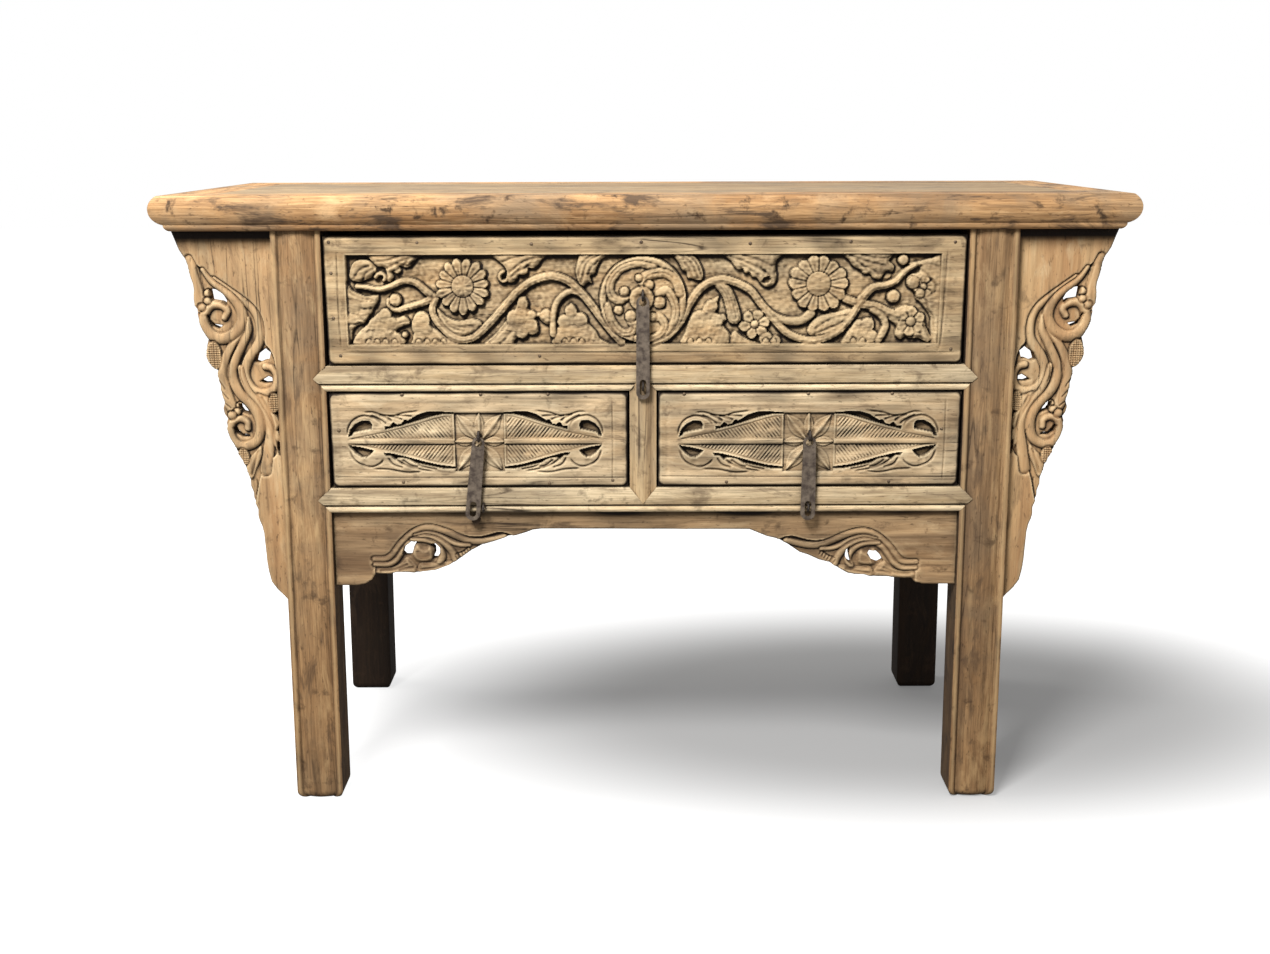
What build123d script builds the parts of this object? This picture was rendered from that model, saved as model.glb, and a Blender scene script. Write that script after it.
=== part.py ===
from build123d import *
import os
from math import cos, radians, sin, tan

os.makedirs("parts", exist_ok=True)

# Chinese altar table with three drawers, in millimetres.
# X runs along the front, Y from front to back and Z up; the origin is on the floor,
# under the middle of the table.  The front is at -Y.

# ---------------------------------------------------------------- driving sizes
# overall
table_height = 850.0
top_length = 1278.0
top_depth = 497.0
leg_splay = 0.8              # degrees that each leg leans in towards the top

# top
end_overhang = 140.0         # how far the top reaches past the feet at each end
front_overhang = 14.5        # the same past the legs' front and back faces
nose_height = 37.0           # rounded edge of the top
nose_land = 9.0              # where the round of the edge meets the flat top
nose_belly = 15.5            # the widest point of the round, below the flat top
lip_height = 8.0             # small moulding under the nose
front_lip_inset = 11.0       # how far the lip's foot stands back, front and back
end_lip_inset = 27.0         # the same at the two ends
lip_shelf = 0.6              # share of a lip's inset that the nose's underside takes
hollow_across = 0.15         # middle of the lip's hollow, as shares of its width
hollow_down = 0.6            # and of its height
frame_width = 72.0           # width of the mitred frame of the top
panel_thickness = 16.0
panel_tongue = 8.0
tongue_thickness = 7.0
batten_width = 42.0
batten_height = 20.0
batten_inset = 89.0          # middle of a batten, inside the outer face of the feet
batten_tenon = 10.0

# legs
leg_width = 65.0
leg_depth = 58.0
leg_bead = 8.0               # round bead along each edge of the front face
leg_groove = 4.5
groove_depth = 3.0
bead_edge = 1.5              # how far a bead's two edges lie behind the leg's face
bead_crown = 0.3             # the same for its middle
field_crown = 2.5            # how far the front of a rail swells
leg_tenon = 26.0
leg_tenon_height = 22.0

# front rails and post
rail_height = 34.0
rail_depth = 34.0
upper_bay = 178.0            # from the top of the mid rail to the underside of the top
lower_bay = 133.5            # between the two rails
rail_round = 23.5            # height of the large round of a rail
rail_quirk = 2.8             # groove between the large round and the bead
quirk_depth = 6.0
rail_bead_drop = 0.5         # how far the small bead stands behind the large round
shoulder_depth = 10.0        # thickness of the pointed shoulder that laps the leg
rail_tenon = 26.0
tenon_thickness = 12.0
tenon_shoulder = 8.0
tenon_middle = 21.0          # from the front of a rail or post to the middle of its tenons
post_width = 36.0
post_land = 7.0              # flat beside the swelling face of the post
post_centre = -3.0
post_tip = 22.0
post_tenon = 12.0

# sides and back
case_rail_thickness = 28.0
case_rail_inset = 6.0        # case rails stand back from the legs' outer faces
top_case_rail_height = 38.0
case_tenon = 16.0
case_panel = 10.0
case_panel_tongue = 6.0

# apron
apron_thickness = 18.0
apron_recess = 10.0
apron_tongue = 6.0
apron_end_drop = 107.0       # below the lower rail, beside the legs
apron_arch_drop = 27.0       # below the lower rail, in the middle
apron_relief = 3.0           # depth of the ground round the rolled leaves

# spandrels
spandrel_reach = 132.0
spandrel_drop = 514.0
spandrel_thickness = 22.0
spandrel_recess = 14.0
spandrel_tongue = 8.0
spandrel_tongue_thickness = 10.0
spandrel_relief = 3.0        # depth of the ground round the volutes
volute_boss = 0.36           # boss of a volute, as a share of its radius
boss_sides = 12              # bosses are whittled and strap holes filed, in this many flats

# drawers
front_thickness = 22.0
front_recess = 2.0           # drawer fronts stand back from the rails
drawer_top_gap = 7.5         # over the upper drawer, under the top
drawer_gap = 2.5             # over the lower fronts
drawer_foot_gap = 1.5        # under all three fronts
drawer_side_gap = 1.8
drawer_rest_gap = 0.3        # sides over their runners
drawer_side = 12.0
drawer_back = 12.0
drawer_bottom = 8.0
bottom_rise = 6.0            # bottom board above the lower edge of the sides
board_groove = 5.0
drawer_back_gap = 10.0
side_drop = 8.0              # sides stand lower than the top of the front
tail_length = 12.0
tail_root = 0.26             # half widths of a dovetail, as shares of the pitch
tail_end = 0.36

# carving of the drawer fronts
field_depth = 9.0            # depth of the sunk ground and of the slots
field_inset_left = 29.0      # sunk ground of the upper front, from its edges
field_inset_right = 33.0
field_inset_foot = 26.5
field_inset_head = 24.5
medallion_radius = 57.0
medallion_ring = 8.5
medallion_bowl = 3.0         # depth of the dish inside the ring
medallion_boss = 14.5
flower_radius = 37.0
flower_boss = 14.0
flower_groove = 2.5          # width and depth of the cut round a flower's boss
flower_petals = 13
petal_notch = 0.86           # depth of the notches between petals, as a share of the radius
flower_inset = 187.0         # middle of a flower, from the end of the board
flower_rise = 20.0
vine_width = 10.0
lozenge_inset = 40.0         # tips of the leaves, from the ends of the lower boards
leaf_sink = 1.8              # the leaves lie this much under the border
rib_half_height = 3.5        # ridge that stands along the middle of the leaves
block_half_width = 33.5      # plain block behind the pull
block_half_height = 40.0
block_sink = 2.6
petal_reach = 46.0
petal_half_width = 8.5
petal_lap = 3.0              # how far opposite petals run into each other

# runners
runner_width = 34.0
runner_height = 22.0
bearer_width = 62.0
guide_height = 24.0

# ironwork
ring_radius = 6.5            # to the middle of the wire
ring_wire = 1.6
ring_bends = 12              # rings are square bar, bent in short straights with bevelled corners
bevel_share = 0.55           # bevel, as a share of half the bar's thickness
bar_height = 3.4
bar_clearance = 0.7
strap_thickness = 2.2
strap_hole = 10.0
strap_rim = 3.5              # metal beside the hole at the strap's head
upper_strap_length = 137.0
lower_strap_length = 116.0
upper_strap_width = 18.0
lower_strap_width = 20.0
slot_width = 8.8
slot_length = 21.5
slot_end = 5.0               # metal below the slot
staple_wire = 1.4
staple_half_gap = 4.5
staple_stand = 12.8          # how far a staple stands out of its rail, to the middle of its wire
staple_shank = 14.0
shank_radius = 2.4
clench_reach = 7.2           # how far the split ends are bent apart behind the board
iron_fit = 0.1
upper_eye_drop = 84.5        # eye of the upper drawer, below the underside of the top
lower_eye_rise = 73.0        # eyes of the lower drawers, over the lower rail
crooked_strap = 6.0          # degrees, the lower left strap hangs askew
staple_offset = 4.0          # lower left staple, to the right of its eye
staple_rise = 2.0            # staple over the middle of its slot
peg_radius = 5.5
peg_sides = 12               # the peg is whittled, not turned
peg_stand = 11.0             # how far the peg stands out of the apron
peg_offset = 7.5

# ---------------------------------------------------------------- worked out
foot_span = top_length - 2 * end_overhang        # over the legs' outer faces, at the floor
base_depth = top_depth - 2 * front_overhang      # over the legs' front and back faces
splay = tan(radians(leg_splay))
top_thickness = nose_height + lip_height
case_top = table_height - top_thickness
front_face = -base_depth / 2
back_face = base_depth / 2
leg_back_of_front = front_face + leg_depth
leg_front_of_back = back_face - leg_depth
case_back_outer = back_face - case_rail_inset
case_back_inner = case_back_outer - case_rail_thickness
rail_back = front_face + rail_depth
mid_rail_top = case_top - upper_bay
mid_rail_foot = mid_rail_top - rail_height
lower_rail_top = mid_rail_foot - lower_bay
lower_rail_foot = lower_rail_top - rail_height
post_left = post_centre - post_width / 2
post_right = post_centre + post_width / 2
drawer_face = front_face + front_recess
drawer_front_back = drawer_face + front_thickness
drawer_end = case_back_inner - drawer_back_gap
panel_top = table_height
panel_foot = panel_top - panel_thickness


def leg_outer(z):
    """Distance of a leg's outer face from the middle plane, at height z."""
    return foot_span / 2 - splay * z


def leg_inner(z):
    return leg_outer(z) - leg_width


def block(x0, x1, y0, y1, z0, z1):
    centre = Pos((x0 + x1) / 2, (y0 + y1) / 2, (z0 + z1) / 2)
    return centre * Box(abs(x1 - x0), abs(y1 - y0), abs(z1 - z0))


def front_prism(outline, y0, y1):
    """A closed outline drawn as seen from the front (x, z), from depth y0 to y1."""
    face = Plane.XZ.offset(-y0) * make_face(outline)
    return extrude(face, amount=-(y1 - y0))


def side_prism(outline, x0, x1):
    """A closed outline drawn in the Y-Z plane, from x0 to x1."""
    face = Plane.YZ.offset(x0) * make_face(outline)
    return extrude(face, amount=x1 - x0)


def polygon(*points):
    return Polyline(*points, close=True)


def leaning(side, inset0, inset1, y0, y1, z0, z1):
    """A bar between two distances from the leg's outer face, following its lean."""
    corners = [(side * (leg_outer(z) - inset), z)
               for inset, z in ((inset0, z0), (inset1, z0), (inset1, z1), (inset0, z1))]
    return front_prism(polygon(*corners), y0, y1)


def crescent(tip, through, other_tip, back_through):
    """Two arcs that meet at two tips: a moon, a drop or a leaf."""
    return [ThreePointArc(tip, through, other_tip), ThreePointArc(other_tip, back_through, tip)]


def save(name, shape):
    export_step(shape, f"parts/{name}.step")


# ---------------------------------------------------------------- top
def moulded_section(half, lip_inset):
    """Section through the top: round nose over a small lip, alike on both edges."""
    nose_foot = table_height - nose_height
    nose_under = lip_inset * lip_shelf
    hollow_x = half - nose_under - (lip_inset - nose_under) * hollow_across
    right = [
        ThreePointArc((half - nose_land, table_height),
                      (half, table_height - nose_belly),
                      (half - nose_under, nose_foot)),
        ThreePointArc((half - nose_under, nose_foot),
                      (hollow_x, nose_foot - lip_height * hollow_down),
                      (half - lip_inset, case_top)),
    ]
    left = [mirror(edge, Plane.YZ) for edge in right]
    flats = [
        Line((-half + nose_land, table_height), (half - nose_land, table_height)),
        Line((-half + lip_inset, case_top), (half - lip_inset, case_top)),
    ]
    return make_face(right + left + flats)


def top_blank():
    across = Plane.YZ.offset(-top_length / 2) * moulded_section(top_depth / 2, front_lip_inset)
    along = Plane.XZ.offset(-top_depth / 2) * moulded_section(top_length / 2, end_lip_inset)
    return extrude(across, amount=top_length) & extrude(along, amount=top_depth)


opening_x = top_length / 2 - frame_width
opening_y = top_depth / 2 - frame_width
blank = top_blank()
panel_groove = block(-opening_x - panel_tongue, opening_x + panel_tongue,
                     -opening_y - panel_tongue, opening_y + panel_tongue,
                     panel_foot, panel_foot + tongue_thickness)
frame = blank - block(-opening_x, opening_x, -opening_y, opening_y, case_top, table_height)
frame = frame - panel_groove


def top_batten(x):
    reach = opening_y + batten_tenon
    return block(x - batten_width / 2, x + batten_width / 2, -reach, reach,
                 panel_foot - batten_height, panel_foot)


batten_spread = foot_span / 2 - batten_inset
battens = {"top_batten_left": top_batten(-batten_spread),
           "top_batten_right": top_batten(batten_spread)}


def leg_tenon_block(side, y_side):
    x = side * (leg_outer(case_top) - leg_width / 2)
    y = y_side * (base_depth / 2 - leg_depth / 2)
    half = leg_tenon / 2
    return block(x - half, x + half, y - half, y + half, case_top, case_top + leg_tenon_height)


def top_member(corners):
    """One mitred member of the frame, mortised for battens and legs."""
    region = extrude(make_face(Plane.XY.offset(case_top - 1) * polygon(*corners)),
                     amount=top_thickness + 2)
    member = frame & region
    for batten in battens.values():
        member = member - batten
    for side in (-1, 1):
        for y_side in (-1, 1):
            member = member - leg_tenon_block(side, y_side)
    return member


far_x, far_y = top_length / 2, top_depth / 2
for name, sign in (("top_front_rail", -1), ("top_back_rail", 1)):
    save(name, top_member([(-far_x, sign * far_y), (far_x, sign * far_y),
                           (opening_x, sign * opening_y), (-opening_x, sign * opening_y)]))
for name, sign in (("top_left_end", -1), ("top_right_end", 1)):
    save(name, top_member([(sign * far_x, -far_y), (sign * far_x, far_y),
                           (sign * opening_x, opening_y), (sign * opening_x, -opening_y)]))

panel = block(-opening_x, opening_x, -opening_y, opening_y, panel_foot, panel_top) + panel_groove
save("top_panel_front", panel & block(-far_x, far_x, -far_y, 0, case_top, table_height))
save("top_panel_back", panel & block(-far_x, far_x, 0, far_y, case_top, table_height))
for name, batten in battens.items():
    save(name, batten)


# ---------------------------------------------------------------- ironwork
eye_stand = ring_radius + ring_wire / 2
pivot_drop = ring_radius - ring_wire - bar_height / 2 - bar_clearance


def forged_ring(radius, wire):
    """Ring of bevelled square bar, standing in the Y-Z plane round the origin."""
    outline = RegularPolygon(radius + wire, ring_bends) - RegularPolygon(radius - wire, ring_bends)
    ring = extrude(Plane.YZ * outline, amount=wire, both=True)
    return chamfer(ring.edges().filter_by(Axis.X, reverse=True), wire * bevel_share)


def forged_bar(wire, length):
    """Straight bevelled square bar along Y, centred on the origin."""
    section = chamfer(Rectangle(2 * wire, 2 * wire).vertices(), wire * bevel_share)
    return extrude(Plane.XZ * section, amount=length / 2, both=True)


def wire_ring(x, z, wire):
    """Upright ring, edge on to the front, whose back just reaches the drawer's face."""
    return Pos(x, drawer_face - eye_stand, z) * forged_ring(ring_radius, wire)


def ring_eye(x, z):
    """Wire ring on a split shank that goes through the drawer front."""
    ring = wire_ring(x, z, ring_wire)
    shank = Pos(x, (drawer_face + drawer_front_back) / 2, z) * forged_bar(shank_radius, front_thickness)
    clench = block(x - shank_radius, x + shank_radius, drawer_front_back, drawer_front_back + ring_wire,
                   z - clench_reach, z + clench_reach)
    return shank + ring + clench


def shank_hole(x, z):
    hole = Pos(x, (drawer_face + drawer_front_back) / 2, z) * forged_bar(
        shank_radius + iron_fit, front_thickness)
    return hole + wire_ring(x, z, ring_wire + iron_fit)


def strap(x, z, length, width, lean):
    """Flat hasp hung on its ring, drawn hanging straight and then leant about the bar."""
    pivot_z = z - pivot_drop
    head_top = pivot_z + bar_height / 2
    foot = head_top - length
    half = width / 2
    head_half = strap_hole / 2 + strap_rim
    middle = drawer_face - eye_stand
    outline = [
        Line((x - half, foot + half), (x - head_half, head_top - head_half)),
        ThreePointArc((x - head_half, head_top - head_half), (x, head_top),
                      (x + head_half, head_top - head_half)),
        Line((x + head_half, head_top - head_half), (x + half, foot + half)),
        ThreePointArc((x + half, foot + half), (x, foot), (x - half, foot + half)),
    ]
    plate = front_prism(outline, middle - strap_thickness / 2, middle + strap_thickness / 2)
    hole_z = pivot_z - bar_height / 2 - strap_hole / 2
    slot_z = foot + slot_end + slot_length / 2
    for cut in (Pos(x, hole_z) * RegularPolygon(strap_hole / 2, boss_sides, major_radius=False),
                Pos(x, slot_z) * Rot(0, 0, 90) * SlotOverall(slot_length, slot_width)):
        cutter = Plane.XZ.offset(-(middle - strap_thickness)) * cut
        plate = plate - extrude(cutter, amount=-2 * strap_thickness)
    bar = Pos(x, middle, pivot_z)
    return bar * Rot(0, lean, 0) * bar.inverse() * plate, slot_z


def staple(x, z):
    """Bent wire loop driven through a rail, standing out through the strap's slot."""
    crown_y = front_face - staple_stand + staple_half_gap
    crown = Pos(x, crown_y, z) * forged_ring(staple_half_gap, staple_wire)
    reach = 2 * staple_half_gap
    loop = crown & block(x - reach, x + reach, crown_y - reach, crown_y, z - reach, z + reach)
    end_y = front_face + staple_shank
    for sign in (-1, 1):
        arm = Pos(x, (crown_y + end_y) / 2, z + sign * staple_half_gap)
        loop = loop + arm * forged_bar(staple_wire, end_y - crown_y)
    return loop


# eyes and staples: the upper strap hangs over the post, each lower one in the middle of its drawer
lower_outer = leg_inner(mid_rail_foot - drawer_gap) - drawer_side_gap
upper_eye_x, upper_eye_height = post_centre, case_top - upper_eye_drop
lower_eye_height = lower_rail_top + lower_eye_rise
left_eye_x = (post_left - drawer_side_gap - lower_outer) / 2
right_eye_x = (post_right + drawer_side_gap + lower_outer) / 2
upper_strap, upper_slot_z = strap(upper_eye_x, upper_eye_height, upper_strap_length,
                                  upper_strap_width, 0)
left_strap, lower_slot_z = strap(left_eye_x, lower_eye_height, lower_strap_length,
                                 lower_strap_width, crooked_strap)
right_strap, lower_slot_z = strap(right_eye_x, lower_eye_height, lower_strap_length,
                                  lower_strap_width, 0)
staple_places = [(upper_eye_x, upper_slot_z + staple_rise),
                 (left_eye_x + staple_offset, lower_slot_z + staple_rise),
                 (right_eye_x, lower_slot_z + staple_rise)]
staples = [staple(x, z) for x, z in staple_places]
save("upper_strap", upper_strap)
save("lower_left_strap", left_strap)
save("lower_right_strap", right_strap)
save("lock_staples", Compound(children=staples))


def staple_bores(shape):
    """Bore a rail or post for the shanks of the staples that pass through it."""
    for x, z in staple_places:
        for sign in (-1, 1):
            bore = Pos(x, front_face, z + sign * staple_half_gap)
            shape = shape - bore * forged_bar(staple_wire + iron_fit, 2 * (staple_shank + iron_fit))
    return shape


# ---------------------------------------------------------------- apron
apron_front = front_face + apron_recess
apron_back = apron_front + apron_thickness
apron_top = lower_rail_foot
apron_end = apron_top - apron_end_drop
apron_arch = apron_top - apron_arch_drop
# lower edge from the middle to the leg, as (share of the half width, share of the end drop);
# every second point is a corner and the one between lies on the arc
apron_sweep = [(0.33, 0.252), (0.42, 0.31), (0.51, 0.42), (0.6, 0.62), (0.705, 0.72), (0.75, 0.83),
               (0.82, 0.83), (0.86, 0.8), (0.875, 0.87), (0.9, 0.985), (0.95, 1.0)]
# pierced eyes of the rolled leaf, cut with straight chisels
apron_eyes = [[(0.738, 0.5), (0.765, 0.47), (0.788, 0.55), (0.788, 0.62), (0.755, 0.63)],
              [(0.695, 0.44), (0.668, 0.46), (0.66, 0.58), (0.69, 0.66), (0.683, 0.56)]]
# rim of the rolled leaf
apron_rim = [(0.875, 0.54), (0.74, 0.13), (0.47, 0.29), (0.735, 0.22)]
apron_field = [(0.89, 0.48), (0.84, 0.48), (0.78, 0.27), (0.705, 0.2), (0.6, 0.32), (0.44, 0.33)]


def apron_place(side, point):
    across, down = point
    return (side * across * leg_inner(apron_end), apron_top - down * apron_end_drop)


def apron_arcs(side):
    """The lower edge of one half, from the middle out to the foot beside the leg."""
    points = [apron_place(side, point) for point in apron_sweep]
    return [ThreePointArc(*points[index:index + 3]) for index in range(0, len(points) - 1, 2)]


def apron_outline():
    half, top_half = leg_inner(apron_end), leg_inner(apron_top)
    start, end = apron_place(1, apron_sweep[0]), apron_place(1, apron_sweep[-1])
    flats = [
        Line((-start[0], start[1]), start),
        Line(end, (half, apron_end)),
        Line((half, apron_end), (top_half, apron_top)),
        Line((top_half, apron_top), (-top_half, apron_top)),
        Line((-top_half, apron_top), (-half, apron_end)),
        Line((-half, apron_end), (-end[0], apron_end)),
    ]
    return apron_arcs(1) + apron_arcs(-1) + flats


def apron_tongues():
    """Tongues along the top edge and down both ends."""
    middle = (apron_front + apron_back) / 2
    z0, z1 = apron_end + tenon_shoulder, apron_top + apron_tongue
    foot, head = leg_inner(z0) + apron_tongue, leg_inner(z1) + apron_tongue
    ring = polygon((-foot, z0), (foot, z0), (head, z1), (-head, z1))
    inner = polygon((-foot + 3 * apron_tongue, z0), (foot - 3 * apron_tongue, z0),
                    (foot - 3 * apron_tongue, apron_top - apron_tongue),
                    (-foot + 3 * apron_tongue, apron_top - apron_tongue))
    y0, y1 = middle - apron_tongue / 2, middle + apron_tongue / 2
    return front_prism(ring, y0, y1) - front_prism(inner, y0, y1)


apron = front_prism(apron_outline(), apron_front, apron_back)
for side in (-1, 1):
    below = apron_place(side, (apron_field[0][0], 1 + apron_relief))
    below_arch = apron_place(side, (apron_field[-1][0], 1 + apron_relief))
    outline = polygon(*[apron_place(side, point) for point in apron_field], below_arch, below)
    ground = front_prism(outline, apron_front, apron_front + apron_relief)
    arcs = crescent(*[apron_place(side, point) for point in apron_rim])
    apron = apron - (ground - front_prism(arcs, apron_front, apron_front + apron_relief))
    for eye in apron_eyes:
        outline = polygon(*[apron_place(side, point) for point in eye])
        apron = apron - front_prism(outline, apron_front, apron_back)
apron = apron + apron_tongues()
peg_x, peg_z = left_eye_x - peg_offset, apron_top - 2 * peg_radius
peg_outline = Pos(peg_x, peg_z) * RegularPolygon(peg_radius, peg_sides)
peg = extrude(Plane.XZ.offset(peg_stand - apron_front) * peg_outline,
              amount=-(apron_thickness + peg_stand))
save("apron_front", apron - peg)
save("apron_peg", peg)

# ---------------------------------------------------------------- front rails and post
def rail_section(z_top):
    """Front moulding of a rail: a large round, a quirk and a small bead below it."""
    z_round = z_top - rail_round
    z_bead = z_round - rail_quirk
    z_foot = z_top - rail_height
    lip = front_face + field_crown
    return [
        Line((rail_back, z_top), (lip, z_top)),
        ThreePointArc((lip, z_top), (front_face, (z_top + z_round) / 2), (lip, z_round)),
        Line((lip, z_round), (front_face + quirk_depth, z_round)),
        Line((front_face + quirk_depth, z_round), (front_face + quirk_depth, z_bead)),
        Line((front_face + quirk_depth, z_bead), (lip, z_bead)),
        ThreePointArc((lip, z_bead), (front_face + rail_bead_drop, (z_bead + z_foot) / 2),
                      (lip, z_foot)),
        Line((lip, z_foot), (rail_back, z_foot)),
        Line((rail_back, z_foot), (rail_back, z_top)),
    ]


def rail_shoulders(z_top, y_front):
    """Pointed shoulders that lap the front faces of both legs."""
    z_foot = z_top - rail_height
    z_mid = (z_top + z_foot) / 2
    tip = leg_inner(z_mid) + rail_height / 2
    outline = polygon((-leg_inner(z_foot), z_foot), (leg_inner(z_foot), z_foot), (tip, z_mid),
                      (leg_inner(z_top), z_top), (-leg_inner(z_top), z_top), (-tip, z_mid))
    return front_prism(outline, y_front, front_face + shoulder_depth)


def rail_body(z_top):
    z_foot = z_top - rail_height
    outline = polygon((-leg_inner(z_foot), z_foot), (leg_inner(z_foot), z_foot),
                      (leg_inner(z_top), z_top), (-leg_inner(z_top), z_top))
    reach = leg_inner(z_top) + rail_tenon
    middle = front_face + tenon_middle
    tenons = block(-reach, reach, middle - tenon_thickness / 2, middle + tenon_thickness / 2,
                   z_foot + tenon_shoulder, z_top - tenon_shoulder)
    return front_prism(outline, front_face, rail_back) + tenons


def post_tips(y_front):
    """Diamond ends of the post, let into the faces of both rails."""
    low = lower_rail_top - post_tip
    high = mid_rail_foot + post_tip
    outline = polygon((post_left, lower_rail_top), (post_centre, low), (post_right, lower_rail_top),
                      (post_right, mid_rail_foot), (post_centre, high), (post_left, mid_rail_foot))
    return front_prism(outline, y_front, front_face + shoulder_depth)


def post_blank():
    middle = front_face + tenon_middle
    half = post_width / 2 - tenon_shoulder
    tenons = block(post_centre - half, post_centre + half,
                   middle - tenon_thickness / 2, middle + tenon_thickness / 2,
                   lower_rail_top - post_tenon, mid_rail_foot + post_tenon)
    return block(post_left, post_right, front_face, rail_back, lower_rail_top, mid_rail_foot) + tenons


def post_section():
    edge = front_face + groove_depth
    front = [
        Line((post_left, rail_back), (post_left, edge)),
        Line((post_left, edge), (post_left + post_land, edge)),
        ThreePointArc((post_left + post_land, edge), (post_centre, front_face),
                      (post_right - post_land, edge)),
        Line((post_right - post_land, edge), (post_right, edge)),
        Line((post_right, edge), (post_right, rail_back)),
        Line((post_right, rail_back), (post_left, rail_back)),
    ]
    return front


proud = front_face - leg_depth        # any depth well in front of the table, for cutting
post_shaper = extrude(Plane.XY.offset(lower_rail_foot) * make_face(post_section()),
                      amount=mid_rail_top - lower_rail_foot)
divider_post = (post_blank() + post_tips(front_face)) & post_shaper
save("divider_post", staple_bores(divider_post))

rail_blanks = {}
for name, z_top in (("mid_rail_front", mid_rail_top), ("lower_rail_front", lower_rail_top)):
    rail_blanks[name] = rail_body(z_top) + rail_shoulders(z_top, front_face)
    shaper = side_prism(rail_section(z_top), -foot_span / 2, foot_span / 2)
    rail = (rail_blanks[name] & shaper) - post_blank() - post_tips(proud) - apron_tongues()
    rail_blanks[name] = rail_body(z_top) + rail_shoulders(z_top, proud)
    save(name, staple_bores(rail))

# ---------------------------------------------------------------- case rails and panels
back_rail_tops = {"back_rail_top": case_top, "back_rail_mid": mid_rail_top,
                  "back_rail_low": lower_rail_top}
back_rail_heights = {"back_rail_top": top_case_rail_height, "back_rail_mid": rail_height,
                     "back_rail_low": rail_height}


def back_rail(z_foot, z_top):
    outline = polygon((-leg_inner(z_foot), z_foot), (leg_inner(z_foot), z_foot),
                      (leg_inner(z_top), z_top), (-leg_inner(z_top), z_top))
    reach = leg_inner(z_top) + case_tenon
    middle = (case_back_outer + case_back_inner) / 2
    tenons = block(-reach, reach, middle - case_panel / 2, middle + case_panel / 2,
                   z_foot + tenon_shoulder, z_top - tenon_shoulder)
    return front_prism(outline, case_back_inner, case_back_outer) + tenons


def back_panel(z_foot, z_top):
    """Thin board whose edges enter the rails and the legs."""
    z0, z1 = z_foot - case_panel_tongue, z_top + case_panel_tongue
    reach0, reach1 = leg_inner(z0) + case_panel_tongue, leg_inner(z1) + case_panel_tongue
    middle = (case_back_outer + case_back_inner) / 2
    outline = polygon((-reach0, z0), (reach0, z0), (reach1, z1), (-reach1, z1))
    return front_prism(outline, middle - case_panel / 2, middle + case_panel / 2)


def side_rail(side, z_foot, z_top):
    inset = case_rail_inset
    rail = leaning(side, inset, inset + case_rail_thickness,
                   leg_back_of_front, leg_front_of_back, z_foot, z_top)
    middle = inset + case_rail_thickness / 2
    tenon = leaning(side, middle - case_panel / 2, middle + case_panel / 2,
                    leg_back_of_front - case_tenon, leg_front_of_back + case_tenon,
                    z_foot + tenon_shoulder, z_top - tenon_shoulder)
    return rail + tenon


def side_panel(side, z_foot, z_top):
    middle = case_rail_inset + case_rail_thickness / 2
    return leaning(side, middle - case_panel / 2, middle + case_panel / 2,
                   leg_back_of_front - case_panel_tongue, leg_front_of_back + case_panel_tongue,
                   z_foot - case_panel_tongue, z_top + case_panel_tongue)


top_rail_foot = case_top - top_case_rail_height
back_panels = {"back_panel_upper": back_panel(mid_rail_top, top_rail_foot),
               "back_panel_lower": back_panel(lower_rail_top, mid_rail_foot)}
back_rails = {}
for name, z_top in back_rail_tops.items():
    rail = back_rail(z_top - back_rail_heights[name], z_top)
    for board in back_panels.values():
        rail = rail - board
    back_rails[name] = rail
    save(name, rail)
for name, board in back_panels.items():
    save(name, board)

side_rails = {}
side_panels = {}
for side, label in ((-1, "left"), (1, "right")):
    board = side_panel(side, lower_rail_top, top_rail_foot)
    side_panels[side] = board
    side_rails[side] = [side_rail(side, top_rail_foot, case_top),
                        side_rail(side, lower_rail_foot, lower_rail_top)]
    save(f"side_panel_{label}", board)
    save(f"side_rail_top_{label}", side_rails[side][0] - board)
    save(f"side_rail_low_{label}", side_rails[side][1] - board)

# ---------------------------------------------------------------- spandrels
# outer edge from the top to the foot, as (share of the reach, share of the drop); every second
# point is a cusp and the one between lies on the arc that joins its neighbours
spandrel_edge = [(1.0, 0.0), (0.93, 0.035), (0.893, 0.072), (0.862, 0.105), (0.838, 0.142),
                 (0.848, 0.172), (0.827, 0.202), (0.823, 0.238), (0.75, 0.282), (0.783, 0.316),
                 (0.687, 0.362), (0.674, 0.392), (0.659, 0.401), (0.659, 0.42), (0.637, 0.444),
                 (0.652, 0.468), (0.627, 0.49), (0.627, 0.532), (0.54, 0.588), (0.49, 0.62),
                 (0.447, 0.656), (0.445, 0.68), (0.426, 0.693), (0.422, 0.715), (0.38, 0.737),
                 (0.37, 0.76), (0.34, 0.798), (0.33, 0.866), (0.318, 0.916), (0.262, 0.96),
                 (0.125, 1.0)]
# pierced eyes, cut with straight chisels
spandrel_eyes = [[(0.685, 0.148), (0.62, 0.151), (0.54, 0.17), (0.513, 0.193), (0.58, 0.184), (0.68, 0.178)],
                 [(0.73, 0.216), (0.69, 0.241), (0.64, 0.252), (0.575, 0.243), (0.66, 0.238)],
                 [(0.275, 0.338), (0.25, 0.32), (0.165, 0.303), (0.115, 0.316), (0.135, 0.337), (0.2, 0.338)],
                 [(0.238, 0.391), (0.15, 0.376), (0.115, 0.394), (0.18, 0.398)],
                 [(0.478, 0.447), (0.47, 0.465), (0.445, 0.474), (0.35, 0.481), (0.4, 0.459)],
                 [(0.545, 0.514), (0.525, 0.53), (0.46, 0.54), (0.37, 0.536), (0.46, 0.527)]]
# edge of the sunk ground towards the leg
spandrel_field = [(0.893, 0.072), (0.52, 0.13), (0.165, 0.28), (0.09, 0.31), (0.06, 0.44), (0.06, 0.56),
                  (0.13, 0.62), (0.3, 0.67), (0.375, 0.73)]
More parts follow.
